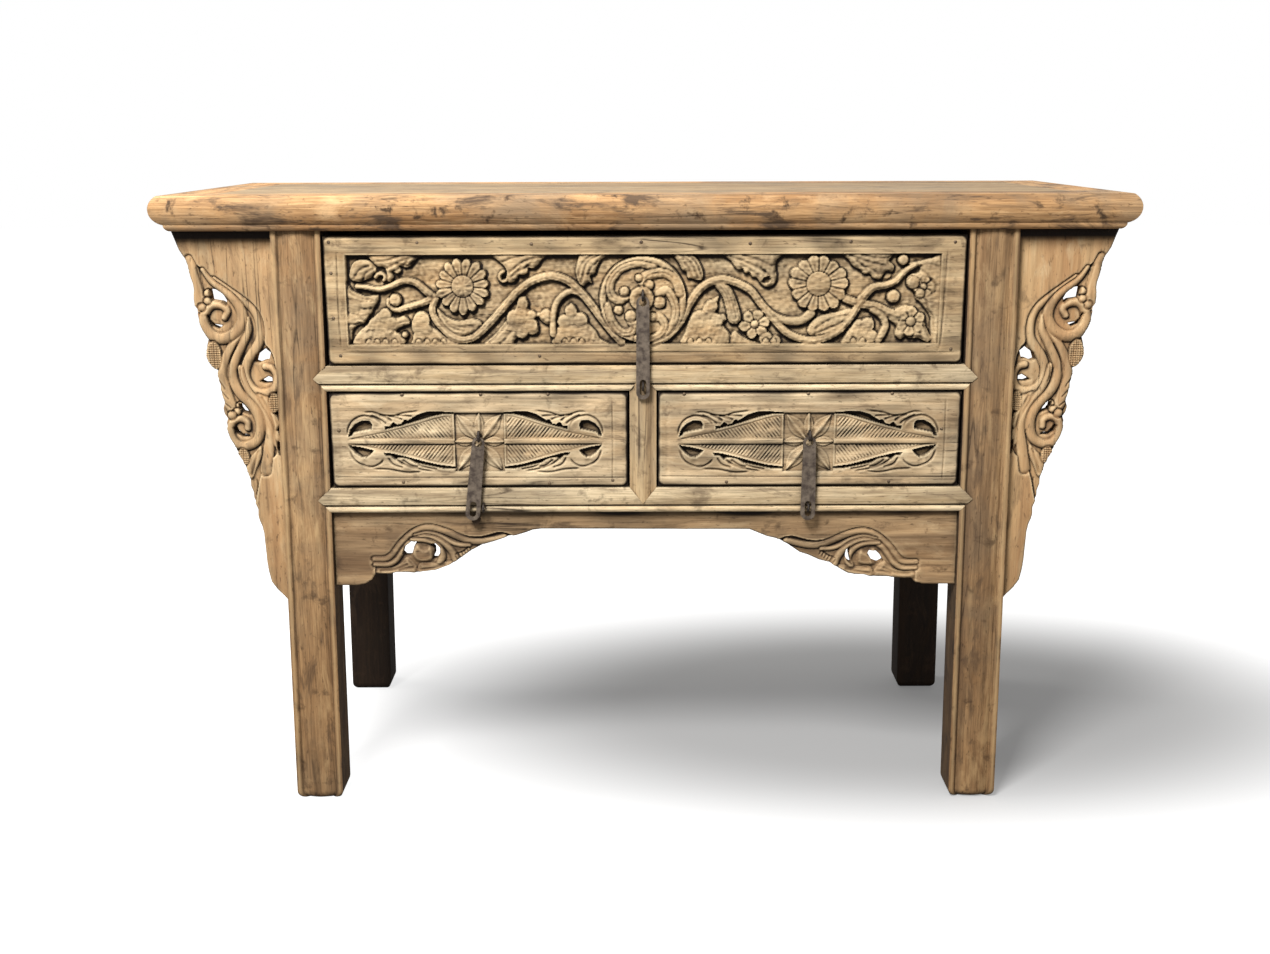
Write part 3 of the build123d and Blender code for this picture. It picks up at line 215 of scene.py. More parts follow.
def elm(name, grain, light, mid, dark, grey, weather=0.45, stain=0.5, line=1.0, bright="#DDC49A",
        streak=0.45, ledges=()):
    """Old weathered elm, sawn and planed by hand: broad figure and fine lines run along the grain,
    grey and dark patches lie over them, grime fills cracks, and painted shade, with dust and
    grime, darkens corners and recesses.  The surface is dry, so its roughness stays high.  grain
    is the axis 0, 1 or 2 along which it runs, and ledges are heights in mm of upper edges, under
    which shade and grey weathering are painted."""
    material, tree = new_material(name)
    place = add(tree, "ShaderNodeTexCoord").outputs["Object"]
    along = [1.0, 1.0, 1.0]
    along[grain] = 0.045
    turned = add(tree, "ShaderNodeMapping", {"Vector": place, "Scale": along}).outputs[0]
    along[grain] = 0.3
    dragged = add(tree, "ShaderNodeMapping", {"Vector": place, "Scale": along}).outputs[0]

    def noise(where, wavelength_mm, detail, rough=0.55, bend=0.0):
        """Fractal noise from 0 to 1, with its coarsest waves of that length."""
        made = add(tree, "ShaderNodeTexNoise", {"Vector": where, "Scale": 1000.0 / wavelength_mm,
                                                "Detail": detail, "Roughness": rough,
                                                "Distortion": bend})
        return made.outputs["Fac"]

    def share_of(value, amount):
        """One value times the other."""
        return add(tree, "ShaderNodeMath", {0: value, 1: amount}, operation="MULTIPLY").outputs[0]

    # lengths are in mm; fine lines and pits are drawn coarser than real pores, which would be too
    # fine to show
    figure = noise(turned, 34.0, 4.0, 0.6, 0.8)
    streaks = noise(turned, 7.0, 4.0, 0.65, 0.3)
    lines = noise(turned, 1.9, 3.0, 0.6)
    clouds = noise(place, 120.0, 5.0, 0.62, 0.4)
    spots = noise(place, 24.0, 4.0, 0.6, 0.3)
    seam = noise(turned, 26.0, 1.5, 0.5, 0.5)
    drift = noise(turned, 90.0, 5.0, 0.7, 0.4)
    patches = noise(dragged, 26.0, 6.0, 0.68, 0.6)
    pits = noise(dragged, 3.2, 2.0)

    # the wood itself: figure, streaks along the grain, and fine lines
    colour = ramp(tree, figure, [(0.36, srgb(mid)), (0.6, srgb(light))])
    shade = ramp(tree, streaks, [(0.36, WHITE), (0.54, BLACK)])
    colour = blend(tree, share_of(shade, streak), colour, srgb(dark))
    fine = ramp(tree, lines, [(0.3, (0.5, 0.45, 0.4, 1.0)), (0.58, (1.08, 1.08, 1.08, 1.0))])
    colour = blend(tree, 0.45 * line, colour, fine, "MULTIPLY")
    # what age has done: rubbed and bleached patches, dirt in clouds, smudges, spots and specks
    rubbed = ramp(tree, patches, [(0.33, WHITE), (0.47, BLACK)])
    colour = blend(tree, share_of(rubbed, 0.5), colour, srgb(bright))
    bleached = ramp(tree, clouds, [(0.46, BLACK), (0.64, WHITE)])
    colour = blend(tree, share_of(bleached, weather), colour, srgb(grey))
    darkening = ramp(tree, drift, [(0.52, BLACK), (0.66, WHITE)])
    colour = blend(tree, share_of(darkening, stain), colour, srgb("#5B4735"))
    smudged = ramp(tree, patches, [(0.54, BLACK), (0.64, WHITE)])
    colour = blend(tree, share_of(smudged, stain), colour, srgb("#564434"))
    dirty = ramp(tree, spots, [(0.6, BLACK), (0.7, WHITE)])
    colour = blend(tree, share_of(dirty, stain), colour, srgb("#4A3828"))
    specks = ramp(tree, pits, [(0.64, BLACK), (0.72, WHITE)])
    colour = blend(tree, share_of(specks, 0.55), colour, srgb("#3A2A1D"))
    # drying cracks, where the wood is bleached, and the browner lower part of the table
    crack = ramp(tree, seam, [(0.486, BLACK), (0.5, WHITE), (0.514, BLACK)])
    crack = share_of(crack, bleached)
    colour = blend(tree, crack, colour, srgb("#2E2016"))
    height = add(tree, "ShaderNodeSeparateXYZ", {0: place}).outputs["Z"]
    low = add(tree, "ShaderNodeMapRange", {"Value": height, "From Min": 0.5, "From Max": 0.2}).outputs[0]
    colour = blend(tree, share_of(low, 0.45), colour, srgb("#C0AE98"), "MULTIPLY")
    # painted shade with grey weathering, in a band under each ledge, broken by the streaks
    if ledges:
        stops = [((edge + over) * MM, tone) for edge in ledges
                 for over, tone in ((-15, BLACK), (-4, WHITE), (0, WHITE), (1, BLACK))]
        under = ramp(tree, height, stops)
        under = share_of(under, ramp(tree, streaks, [(0.3, WHITE), (0.66, (0.15, 0.15, 0.15, 1.0))]))
        colour = blend(tree, share_of(under, 0.65), colour, srgb("#5F5140"))
    # painted shade, with dust, in corners from ambient occlusion; worn edges; and the painted shade and
    # grime that the piece has marked in its recesses
    hollow = add(tree, "ShaderNodeAmbientOcclusion", {"Distance": 0.014}, samples=6).outputs["AO"]
    shade_and_dust = ramp(tree, hollow, [(0.2, WHITE), (0.8, BLACK)])
    colour = blend(tree, share_of(shade_and_dust, 0.8), colour, srgb("#20150D"))
    worn = add(tree, "ShaderNodeAttribute", attribute_name="wear").outputs["Fac"]
    colour = blend(tree, worn, colour, srgb(bright))
    # painted shade, with some grime, that the carved boards and the legs store in each point
    shade_and_grime = add(tree, "ShaderNodeAttribute", attribute_name="shade_and_grime").outputs["Fac"]
    colour = blend(tree, shade_and_grime, colour, srgb("#1A110A"))

    relief = add(tree, "ShaderNodeMath", {0: streaks, 1: lines}, operation="ADD").outputs[0]
    relief = add(tree, "ShaderNodeMath", {0: relief, 1: crack}, operation="SUBTRACT").outputs[0]
    bump = add(tree, "ShaderNodeBump", {"Height": relief, "Strength": 0.45, "Distance": 0.0008})
    surface = add(tree, "ShaderNodeBsdfPrincipled", {"Base Color": colour, "Roughness": 0.78,
                                                     "Normal": bump.outputs[0]})
    surface.inputs["Specular IOR Level"].default_value = 0.25
    add(tree, "ShaderNodeOutputMaterial", {"Surface": surface.outputs[0]})
    return material


def waver(x, z, size, seed):
    """A rolling unevenness between about -1 and 1: seven sine waves of about that size in mm, each
    with its own direction and phase, which are the first two of three random angles."""
    turns = np.random.default_rng(seed).uniform(0, 2 * pi, (7, 3))
    return sum(np.sin((x * np.cos(way) + z * np.sin(way)) * 2 * pi / (size * (0.7 + 0.1 * i)) + phase)
               for i, (way, phase, _) in enumerate(turns)) / 3.5


def mark_shade_and_wear(piece, shade_and_grime, wear):
    """Stores the painted shade and grime, and the wear, of each point, 0 to 1, which the elm's material
    reads.
    """
    for label, values in (("shade_and_grime", shade_and_grime), ("wear", wear)):
        layer = piece.data.attributes.new(label, "FLOAT", "POINT")
        layer.data.foreach_set("value", values.astype(np.float32))


def leg_side(z):
    """Distance of a leg's outer face from the middle at that height."""
    return LEG_SPREAD - LEAN * z


def worn_leg(label, side, back, material):
    """A post as rows of one outline.  The outline's face lies deeper by the square of the distance
    from the middle of each bead and of the field; near the foot it shrinks along a quarter circle.
    Where a rail's pointed shoulder lies in the face, the face sinks under it."""
    u = np.linspace(0, LEG_WIDTH, FACE_STEPS)
    edge = np.minimum(u, LEG_WIDTH - u)
    bead = 0.3 + 1.2 * (2 * edge / BEAD - 1) ** 2
    quirk = 2.6 + 1.6 * np.sin(pi * np.clip((edge - BEAD) / QUIRK, 0, 1))
    field = 3.0 * (np.abs(u - LEG_WIDTH / 2) / (LEG_WIDTH / 2 - BEAD - QUIRK)) ** 2
    face = np.where(edge < BEAD, bead, np.where(edge < BEAD + QUIRK, quirk, field))
    rise = np.linspace(3, LEG_DEPTH - 1, SIDE_STEPS)
    across = np.linspace(LEG_WIDTH - 1, 1, BACK_STEPS)
    u = np.concatenate([u, np.full(SIDE_STEPS, LEG_WIDTH), across, np.zeros(SIDE_STEPS)])
    v = np.concatenate([face, rise, np.full(BACK_STEPS, LEG_DEPTH), rise[::-1]])
    rounding = FOOT_ROUND * (1 - np.cos(np.linspace(0, pi / 2, 9)))
    z = np.unique(np.concatenate([rounding, np.arange(12, LEG_TOP, 9), [LEG_TOP]]
                                 + [np.arange(foot, top, 1.5) for foot, top in SHOULDER_ROWS]))
    uu, zz = np.meshgrid(u, z)
    vv = np.tile(v, (len(z), 1))
    front = np.arange(len(u)) < FACE_STEPS
    vv = vv + front * (0.3 + 0.3 * waver(uu * 0.6 + 40 * side, zz * 0.12, 12, 17))
    # painted shade: dark lines in the quirks, the inner one darker, and the sides and back darker, the inner
    # side most
    shade_and_grime = front * (0.4 * np.exp(-((uu - BEAD - 0.8) / 0.9) ** 2)
                      + 0.8 * np.exp(-((LEG_WIDTH - uu - BEAD - 0.8) / 0.9) ** 2))
    shade_and_grime = shade_and_grime * (0.75 + 0.3 * waver(uu, zz * 0.3, 25, 18)) + np.where(front, 0, 0.3)
    shade_and_grime = shade_and_grime + 0.35 * (~front & (uu > LEG_WIDTH - 0.5))
    wear = front * np.clip(0.35 * np.exp(-((np.minimum(uu, LEG_WIDTH - uu) - BEAD / 2) / 2) ** 2), 0, 1)
    if not back:
        for rail in RAILS:
            foot, top = (corner.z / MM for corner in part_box(rail))
            half = (top - foot) / 2
            under = uu - (LEG_WIDTH - half + np.abs(zz - foot - half)) - 1.2
            vv = vv + SHOULDER_SINK * front * (under > 0) * (np.abs(zz - foot - half) < half - 1)
    under = np.clip(FOOT_ROUND - zz, 0, None)
    shrink = FOOT_ROUND - np.sqrt(np.clip(FOOT_ROUND ** 2 - under ** 2, 0, None))
    uu = LEG_WIDTH / 2 + (uu - LEG_WIDTH / 2) * (1 - shrink / LEG_WIDTH * FOOT_TAPER)
    vv = LEG_DEPTH / 2 + (vv - LEG_DEPTH / 2) * (1 - shrink / LEG_DEPTH * FOOT_TAPER)
    outward = 1 if back else -1
    x = side * (leg_side(zz) - uu)
    y = outward * (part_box(f"leg_back_{label}")[1].y / MM - vv)
    points = np.stack([x, y, zz], -1).reshape(-1, 3)

    # walls between the rows, and a fan over either end
    rows, loop = zz.shape
    start = (np.arange(rows - 1)[:, None] * loop + np.arange(loop)).ravel()
    after = (np.arange(rows - 1)[:, None] * loop + (np.arange(loop) + 1) % loop).ravel()
    walls = np.stack([start, after, after + loop, start + loop], 1)
    ends = np.stack([points[:loop].mean(0), points[-loop:].mean(0)])
    ring = np.arange(loop)
    step = (ring + 1) % loop
    last = (rows - 1) * loop
    caps = np.concatenate([np.stack([step, ring, np.full(loop, rows * loop)], 1),
                           np.stack([ring + last, step + last, np.full(loop, rows * loop + 1)], 1)])
    if (side == 1) != back:
        walls, caps = walls[:, ::-1], caps[:, ::-1]
    row = "back" if back else "front"
    points = np.concatenate([points, ends]) * MM
    piece = mesh_object(f"leg_worn_{row}_{label}", points, [walls, caps], material)
    mark_shade_and_wear(piece, *(np.append(np.clip(values, 0, 1).ravel(), [0, 0]) for values in (shade_and_grime, wear)))
    piece.data.set_sharp_from_angle(angle=radians(50))
    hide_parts(f"leg_{row}_{label}")
    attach(piece, "frame")


leg_elm_z = elm("leg_elm_along_z", 2, "#B29067", "#91704D", "#573F2A", "#7A6A55", weather=0.5, stain=0.65,
                line=1.7, bright="#D2B283")
# the back legs and back spandrels are painted near black as the shade they stand in; the peg is dark of its
# own
dark_elm_z = elm("dark_elm_along_z", 2, "#35261A", "#251A10", "#150E08", "#2E251B", bright="#46341F")
for label, side in (("left", -1), ("right", 1)):
    worn_leg(label, side, False, leg_elm_z)
    worn_leg(label, side, True, dark_elm_z)


# ------------------------------------------------------------------ rails and post
# Two moulded elm rails, tenoned between the front legs, and a post between them with diamond
# ends.  Hands have rubbed them pale, and under their upper edges shade and grey weathering are
# painted.
LIGHT, MID, DARK, GREY = "#D3B88E", "#B8986E", "#70573D", "#94866F"
RAIL_TOPS = (459.5, 627.0)   # heights of their upper edges, under which shade and grey weathering are painted
RAIL_WEAR = 1.0              # mm by which use has rounded their edges


def finish_with(material, *names):
    """Gives these CAD nodes that material."""
    for name in names:
        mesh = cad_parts[name].data
        mesh.materials.clear()
        mesh.materials.append(material)


def worn_edges(width_mm, *names):
    """Rounds the sharp edges of these CAD nodes by that much, as long use does."""
    for name in names:
        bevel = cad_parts[name].modifiers.new("worn edges", "BEVEL")
        bevel.width = width_mm * MM
        bevel.segments = 2
        bevel.limit_method = "ANGLE"
        bevel.angle_limit = radians(40)
        bevel.harden_normals = True


rail_elm_x = elm("rail_elm_along_x", 0, "#E9D4AE", "#D2B78D", "#7E6648", "#A3957D", stain=0.6, line=1.5,
                 bright="#EBD8B2", ledges=RAIL_TOPS)
post_elm_z = elm("front_elm_along_z", 2, LIGHT, MID, DARK, GREY)
finish_with(rail_elm_x, *RAILS)
finish_with(post_elm_z, "divider_post")
worn_edges(RAIL_WEAR, "divider_post", *RAILS)


# ------------------------------------------------------------------ back and sides
# Rails tenoned into the legs, and thin elm panels in grooves of rails and legs, close the case.
# The back is stained dark from standing at a wall, and the sides have gone grey.
back_elm_x = elm("back_elm_along_x", 0, "#5A4531", "#433122", "#2A1E14", "#4A3E32", bright="#6C5540")
side_elm_y = elm("side_elm_along_y", 1, "#A98B64", "#8B6E4C", "#573F2A", "#766753", weather=0.4, stain=0.7,
                 bright="#C2A479")
finish_with(back_elm_x, *[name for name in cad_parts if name.startswith("back_")])
finish_with(side_elm_y, *[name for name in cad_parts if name.startswith("side_")])


# ------------------------------------------------------------------ runners
# Plain elm strips on which the drawers slide, and the bearer between the two rows of drawers.
# Nobody has finished them, and they have kept the brown of the closed case.
INNER_ELM = ("#7A5E42", "#5F4630", "#3E2C1E", "#6A5A48")
inner_elm_y = elm("inner_elm_along_y", 1, *INNER_ELM, bright="#8A6E50")
finish_with(inner_elm_y, *[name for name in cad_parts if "_runner" in name], "centre_bearer")


# ------------------------------------------------------------------ spandrels
# Openwork elm boards under the overhang of the top, tongued into the legs.  Three scrolls on
# fluted stems run down the outer edge; the upper corner and the foot stay plain.  The back pair
# is plain, and painted dark as the shade it stands in.
CUT = 1.2                    # width of a gouged wall
SPANDREL_REACH = 622.0       # from the middle of the table to just past its upper corner
SPANDREL_FOOT = 291.0
SPANDREL_FACE, SPANDREL_BACK = -220.0, -198.0
SPANDREL_CELL = 1.15         # steps of the carving's grid
SEED_CUTS = 1.05             # the seed heads' cuts lie 3 mm apart


def curve(points, closed=False, steps=7):
    """A smooth line through the points: on each span the Catmull-Rom cubic of its four neighbours,
    taken at even steps."""
    p = np.asarray(points, float)
    ends = (p[-1:], p[:2]) if closed else (2 * p[:1] - p[1:2], 2 * p[-1:] - p[-2:-1])
    q = np.concatenate([ends[0], p, ends[1]])
    a, b, c, d = (q[i:len(q) - 3 + i, None, :] for i in range(4))
    t = np.linspace(0, 1, steps, endpoint=False)[None, :, None]
    line = 0.5 * (2 * b + (c - a) * t + (2 * a - 5 * b + 4 * c - d) * t ** 2
                  + (3 * b - a - 3 * c + d) * t ** 3)
    line = line.reshape(-1, 2)
    return line if closed else np.concatenate([line, p[-1:]])


def nearest(x, z, line):
    """Distance of each place to a line, on which side it lies, and how far along as a share 0 to 1:
    the smallest distance over the line's straight pieces."""
    best, side, along, run = np.full(x.shape, 1e12), np.ones(x.shape), np.zeros(x.shape), 0.0
    for (ax, az), (bx, bz) in zip(line[:-1], line[1:]):
        dx, dz = bx - ax, bz - az
        length = max(np.hypot(dx, dz), 1e-9)
        t = np.clip(((x - ax) * dx + (z - az) * dz) / length ** 2, 0, 1)
        ox, oz = x - ax - t * dx, z - az - t * dz
        d = ox ** 2 + oz ** 2
        closer = d < best
        best = np.where(closer, d, best)
        side = np.where(closer, np.sign(dx * oz - dz * ox), side)
        along = np.where(closer, run + t * length, along)
        run += length
    return np.sqrt(best), side, along / run


def within(x, z, outline):
    """Distance to a closed outline, positive inside: a place is inside where a level line from it
    crosses the outline an odd number of times."""
    ring = np.asarray([*outline, outline[0]], float)
    inside = np.zeros(x.shape, bool)
    for (ax, az), (bx, bz) in zip(ring[:-1], ring[1:]):
        if az != bz:
            crosses = (z < az) != (z < bz)
            inside ^= crosses & (x < ax + (z - az) * (bx - ax) / (bz - az))
    return nearest(x, z, ring)[0] * np.where(inside, 1.0, -1.0)


def smooth(value):
    """The soft step 3v^2 - 2v^3 of a value held between 0 and 1."""
    v = np.clip(value, 0, 1)
    return v * v * (3 - 2 * v)


class Relief:
    """The height in mm of a carved face, 0 at its highest, over a regular grid in X and Z.
    Each tool works only in the window round its own line."""

    def __init__(self, x0, x1, z0, z1, pitch):
        self.xs = np.linspace(x0, x1, int(round((x1 - x0) / pitch)) + 1)
        self.zs = np.linspace(z0, z1, int(round((z1 - z0) / pitch)) + 1)
        self.x, self.z = np.meshgrid(self.xs, self.zs, indexing="ij")
        self.h = np.zeros(self.x.shape)

    def window(self, line, margin):
        """The part of the grid round a line, as slices, and its places."""
        low, high = np.min(line, 0) - margin, np.max(line, 0) + margin
        i = slice(*np.searchsorted(self.xs, (low[0], high[0])))
        k = slice(*np.searchsorted(self.zs, (low[1], high[1])))
        return (i, k), self.x[i, k], self.z[i, k]

    def sink(self, outline, depth, wall=CUT):
        """Lowers the inside of an outline to a flat ground."""
        w, x, z = self.window(outline, 3)
        share = smooth(within(x, z, outline) / wall)
        self.h[w] = self.h[w] * (1 - share) - depth * share

    def raise_to(self, w, inside, surface, wall=CUT, moat=0.5):
        """Stands a form on what is there: inside its edge the surface, at its edge a steep wall, and
        just outside a shallow moat where the tool went round it."""
        share = smooth(inside / wall + 0.5)
        self.h[w] -= moat * np.exp(-((inside + 0.8) / 1.0) ** 2) * (1 - share)
        self.h[w] = self.h[w] * (1 - share) + surface * share

    def leaf(self, outline, height=-0.6, dome=2.8, veins=(), vein_depth=1.8):
        """A leaf with falling edges, cut by its veins; where it meets the border it leaves the border
        as it is."""
        line = curve(outline, closed=True, steps=3)
        w, x, z = self.window(line, 3)
        inside = within(x, z, line)
        surface = height - dome * (1 - smooth(inside / 6.0))
        for vein in veins:
            d = nearest(x, z, curve(vein, steps=4))[0]
            surface = surface - vein_depth * np.exp(-(d / 1.8) ** 2)
        self.raise_to(w, inside, np.where(self.h[w] > -0.5, self.h[w], surface))

    def lobes(self, spots, height=-0.5, fall=1.7):
        """Round lobes of a leaf, given as (x, z, radius): each is a dome that falls with the square of
        the distance from its middle, and a valley stays where two meet."""
        spots = np.asarray(spots, float)
        w, x, z = self.window(spots[:, :2], spots[:, 2].max() + 3)
        surface, inside = np.full(x.shape, -50.0), np.full(x.shape, -50.0)
        for cx, cz, radius in spots:
            d = np.hypot(x - cx, z - cz)
            surface = np.maximum(surface, height - fall * (d / radius) ** 2)
            inside = np.maximum(inside, radius - d)
        self.raise_to(w, inside, np.where(self.h[w] > -0.5, self.h[w], surface))

    def stem(self, points, start, end, height=-0.6, fall=2.2, flutes=0, flute_depth=0.8, belly=0.0,
             steps=7):
        """A round stem along a line, from one half width to another; flutes run along it."""
        line = curve(points, steps=steps)
        w, x, z = self.window(line, max(start, end) + belly + 3)
        d, side, along = nearest(x, z, line)
        half = start + (end - start) * along + belly * np.sin(pi * along)
        across = np.clip(d / half, 0, 1) * side
        surface = height - fall * across ** 2
        if flutes:
            surface = surface - flute_depth * (0.5 - 0.5 * np.cos(pi * (flutes + 1) * (across + 1))) * (
                np.abs(across) < 0.97)
        self.raise_to(w, half - d, surface)

    def groove(self, points, width, depth, straight=False, fade=0.12):
        """A V cut along a line, shallow at both ends."""
        line = np.asarray(points, float) if straight else curve(points)
        w, x, z = self.window(line, 3 * width)
        d, side, along = nearest(x, z, line)
        ends = smooth(along / fade) * smooth((1 - along) / fade) if fade else 1.0
        self.h[w] -= depth * np.exp(-(d / width) ** 2) * ends

    def flower(self, cx, cz, radius, petals, boss, notch=0.14, turn=0.0, height=-0.4):
        """Petals round a boss: the edge swells with each petal, a groove parts them and each is
        hollow along its middle; two slow waves round the edge make it uneven."""
        corners = np.array([(cx - radius, cz - radius), (cx + radius, cz + radius)])
        w, x, z = self.window(corners, 3)
        r, a = np.hypot(x - cx, z - cz), np.arctan2(z - cz, x - cx) + turn
        petal = np.abs(np.sin(petals * a / 2))
        uneven = 1 + 0.035 * np.sin(2 * a + cx) + 0.03 * np.sin(5 * a + cz)
        edge = radius * (1 - notch + notch * petal ** 0.7) * uneven
        part = np.exp(-(petal * r * 2 / petals / 1.1) ** 2)
        share = np.clip((r - boss) / (radius - boss), 0, 1)
        surface = height - 2.2 * part - 1.0 * petal ** 8 * smooth((1 - share) * 2) - 1.4 * (1 - share)
        surface = surface - 1.2 * smooth((share - 0.75) * 4)
        self.raise_to(w, edge - r, surface)
        inside = boss - r
        dome = height + 0.4 - 2.4 * (r / boss) ** 2
        self.raise_to(w, inside, dome, moat=1.6)

    def ball(self, cx, cz, radius, height=-0.4):
        """A round bud, which is a flower that is nearly all boss."""
        self.flower(cx, cz, radius, 2, radius * 0.95, 0.0, height=height)

    def scroll(self, cx, cz, outer, inner, start, turns, width, tip, height=-0.5, fall=2.0, flutes=0):
        """A stem that rolls up: a spiral from the outer to the inner radius over that many turns
        (negative for clockwise), from a start angle in degrees."""
        t = np.linspace(0, 1, max(5, int(abs(turns) * 12)))
        angle = radians(start) + 2 * pi * turns * t
        radius = outer + (inner - outer) * t ** 0.85
        points = np.stack([cx + radius * np.cos(angle), cz + radius * np.sin(angle)], 1)
        self.stem(points, width, tip, height, fall, flutes, steps=3)

    def shades(self, cell):
        """Painted shade and wear: shadow painted where the face rises steeply close by, most of all above
        and to the left, as a lamp from there would cast it, and a little painted shade in hollows and
        on the deep ground; wear where it stands proud of its surroundings."""
        h = self.h
        rise = np.zeros(h.shape)
        for dx, dz, weight in ((0, 2, 1), (-2, 2, 1), (0, 4, 1), (0, 5.5, 0.85), (-3, 4, 0.9),
                               (-1, 6, 0.6), (-2, 0, 0.8), (-4, 1, 0.6), (2, 0, 0.12), (0, -2, 0.08)):
            i, k = int(round(dx / cell)), int(round(dz / cell))
            near = np.roll(h, (-i, -k), (0, 1))
            steep = np.clip((near - h) / (1.1 * max(abs(dx), abs(dz)) + 2.2), 0, 1)
            rise = np.maximum(rise, weight * steep)
        deep = smooth((-h - 4.0) / 5.0)
        mean = h
        for _ in range(5):
            mean = (mean + np.roll(mean, 1, 0) + np.roll(mean, -1, 0)
                    + np.roll(mean, 1, 1) + np.roll(mean, -1, 1)) / 5
        shade_and_grime = np.clip(1.05 * smooth(rise * 1.1) + 0.05 * deep + 0.2 * np.clip(mean - h, 0, 2), 0, 1)
        wear = np.clip((h - mean - 0.05) * 0.7, 0, 0.55)
        return shade_and_grime, wear


def carved_board(name, relief, face_y, back_y, material, keep=None, darkening=0.0):
    """A board whose front is the relief: its face lies at face_y less the height, and walls join
    its rim to the back.  The darkening, painted shade and grime, is added to the painted shade of
    the recesses.  With keep, a distance over the grid that is positive inside, only that part
    stays, and the rim's points slide down the distance's slope onto its zero line."""
    pitch = relief.xs[1] - relief.xs[0]
    x, z = relief.x.copy(), relief.z.copy()
    count = x.size
    index = np.arange(count).reshape(x.shape)
    cells = np.stack([index[:-1, :-1], index[1:, :-1], index[1:, 1:], index[:-1, 1:]], -1).reshape(-1, 4)
    if keep is not None:
        cells = cells[keep.ravel()[cells].mean(1) > 0]
    out = np.concatenate([cells, np.roll(cells, -1, 1)]).reshape(2, -1)
    edges = np.stack([out[0], out[1]], 1)
    code, back_code = edges[:, 0] * count + edges[:, 1], edges[:, 1] * count + edges[:, 0]
    rim = edges[~np.isin(code, back_code)]
    if keep is not None:
        gx, gz = np.gradient(keep, relief.xs, relief.zs)
        slope = np.maximum(gx ** 2 + gz ** 2, 0.25)
        on_rim = np.unique(rim)
        step = np.clip(keep.ravel()[on_rim] / slope.ravel()[on_rim], -pitch, pitch)
        x.ravel()[on_rim] -= step * gx.ravel()[on_rim]
        z.ravel()[on_rim] -= step * gz.ravel()[on_rim]
    shade_and_grime, wear = relief.shades(pitch)
    shade_and_grime = np.clip(shade_and_grime + darkening, 0, 1)
    front = np.stack([x.ravel(), face_y - relief.h.ravel(), z.ravel()], 1)
    back = np.stack([x.ravel(), np.full(count, back_y), z.ravel()], 1)
    walls = np.stack([rim[:, 1], rim[:, 0], rim[:, 0] + count, rim[:, 1] + count], 1)
    quads = np.concatenate([cells, walls])
    points = np.concatenate([front, back, [[x.mean(), back_y, z.mean()]]])
    if keep is None:
        fan = np.stack([rim[:, 1] + count, rim[:, 0] + count, np.full(len(rim), 2 * count)], 1)
        faces = [quads, fan]
    else:
        faces = [np.concatenate([quads, cells[:, ::-1] + count])]
    used, first = np.unique(np.concatenate([f.ravel() for f in faces]), return_inverse=True)
    cut = np.split(first, np.cumsum([f.size for f in faces])[:-1])
    faces = [c.reshape(f.shape) for c, f in zip(cut, faces)]
    piece = mesh_object(name, points[used] * MM, faces, material)
    blank = np.zeros(count + 1)
    mark_shade_and_wear(piece, *(np.concatenate([values.ravel(), blank])[used] for values in (shade_and_grime, wear)))
    piece.data.set_sharp_from_angle(angle=radians(48))
    return piece


spandrel_elm_z = elm("spandrel_elm_along_z", 2, "#CCA87A", "#B68D62", "#6C5036", "#9A8465", weather=0.35,
                     stain=0.45, line=0.6, streak=0.16)
spandrel_rim = [(-621, 805), (-618, 797), (-612, 780), (-606, 770), (-604, 764), (-603, 755), (-600, 744),
                (-597, 735), (-596.5, 727), (-598, 715), (-597.5, 707), (-594, 701), (-595, 695),
                (-594, 685), (-590, 674), (-585, 665), (-583, 661), (-586, 652), (-587.5, 643),
                (-586, 633), (-581, 625), (-574, 619), (-574.5, 612), (-573, 605), (-570.5, 600),
                (-571, 592), (-569, 583), (-567, 577), (-570, 567), (-569, 560), (-565, 553),
                (-567, 547), (-566, 537), (-563, 527), (-558, 518), (-556, 510), (-553, 503),
                (-548, 494), (-545, 485), (-542, 474), (-540, 468), (-540, 459), (-537, 450),
                (-537, 443), (-534, 435), (-531, 427), (-531.5, 418), (-530, 411), (-527, 403),
                (-525, 392), (-524.5, 375), (-523.5, 350), (-522, 337), (-519, 323), (-512, 312),
                (-505, 305), (-499, 298), (-495, 291)]
eyes = [[(-578, 729), (-569, 727.5), (-560, 722), (-555, 713), (-555.5, 706), (-563, 711), (-576, 713)],
        [(-583, 693), (-580, 694), (-579, 687), (-573, 681.5), (-562, 680), (-568, 675), (-577, 679)],
        [(-523, 631), (-520, 640), (-508, 649), (-501, 643), (-504, 632), (-511, 632), (-518, 629)],
        [(-518, 604), (-506, 611), (-501.5, 609), (-501.5, 602), (-512, 601.5)],
        [(-549, 575), (-548, 567), (-545, 562), (-533, 558), (-538, 567), (-544, 574)],
        [(-557.5, 541), (-555, 533), (-547, 528), (-536, 528), (-537, 531), (-546, 532), (-551, 537),
         (-554, 542)]]
slits = [[(-502, 560), (-494, 562), (-494, 553)], [(-499, 537), (-493.5, 545), (-493.5, 533)],
         [(-499, 521), (-493, 522), (-493, 500), (-497, 503), (-500.5, 512)]]
spandrel = Relief(-SPANDREL_REACH, -leg_side(LEG_TOP), SPANDREL_FOOT, LEG_TOP, SPANDREL_CELL)
rim = spandrel_rim + [(-leg_side(SPANDREL_FOOT), SPANDREL_FOOT), (-leg_side(LEG_TOP), LEG_TOP)]
keep = within(spandrel.x, spandrel.z, rim)
for outline in eyes + slits:
    keep = np.minimum(keep, -within(spandrel.x, spandrel.z, outline))
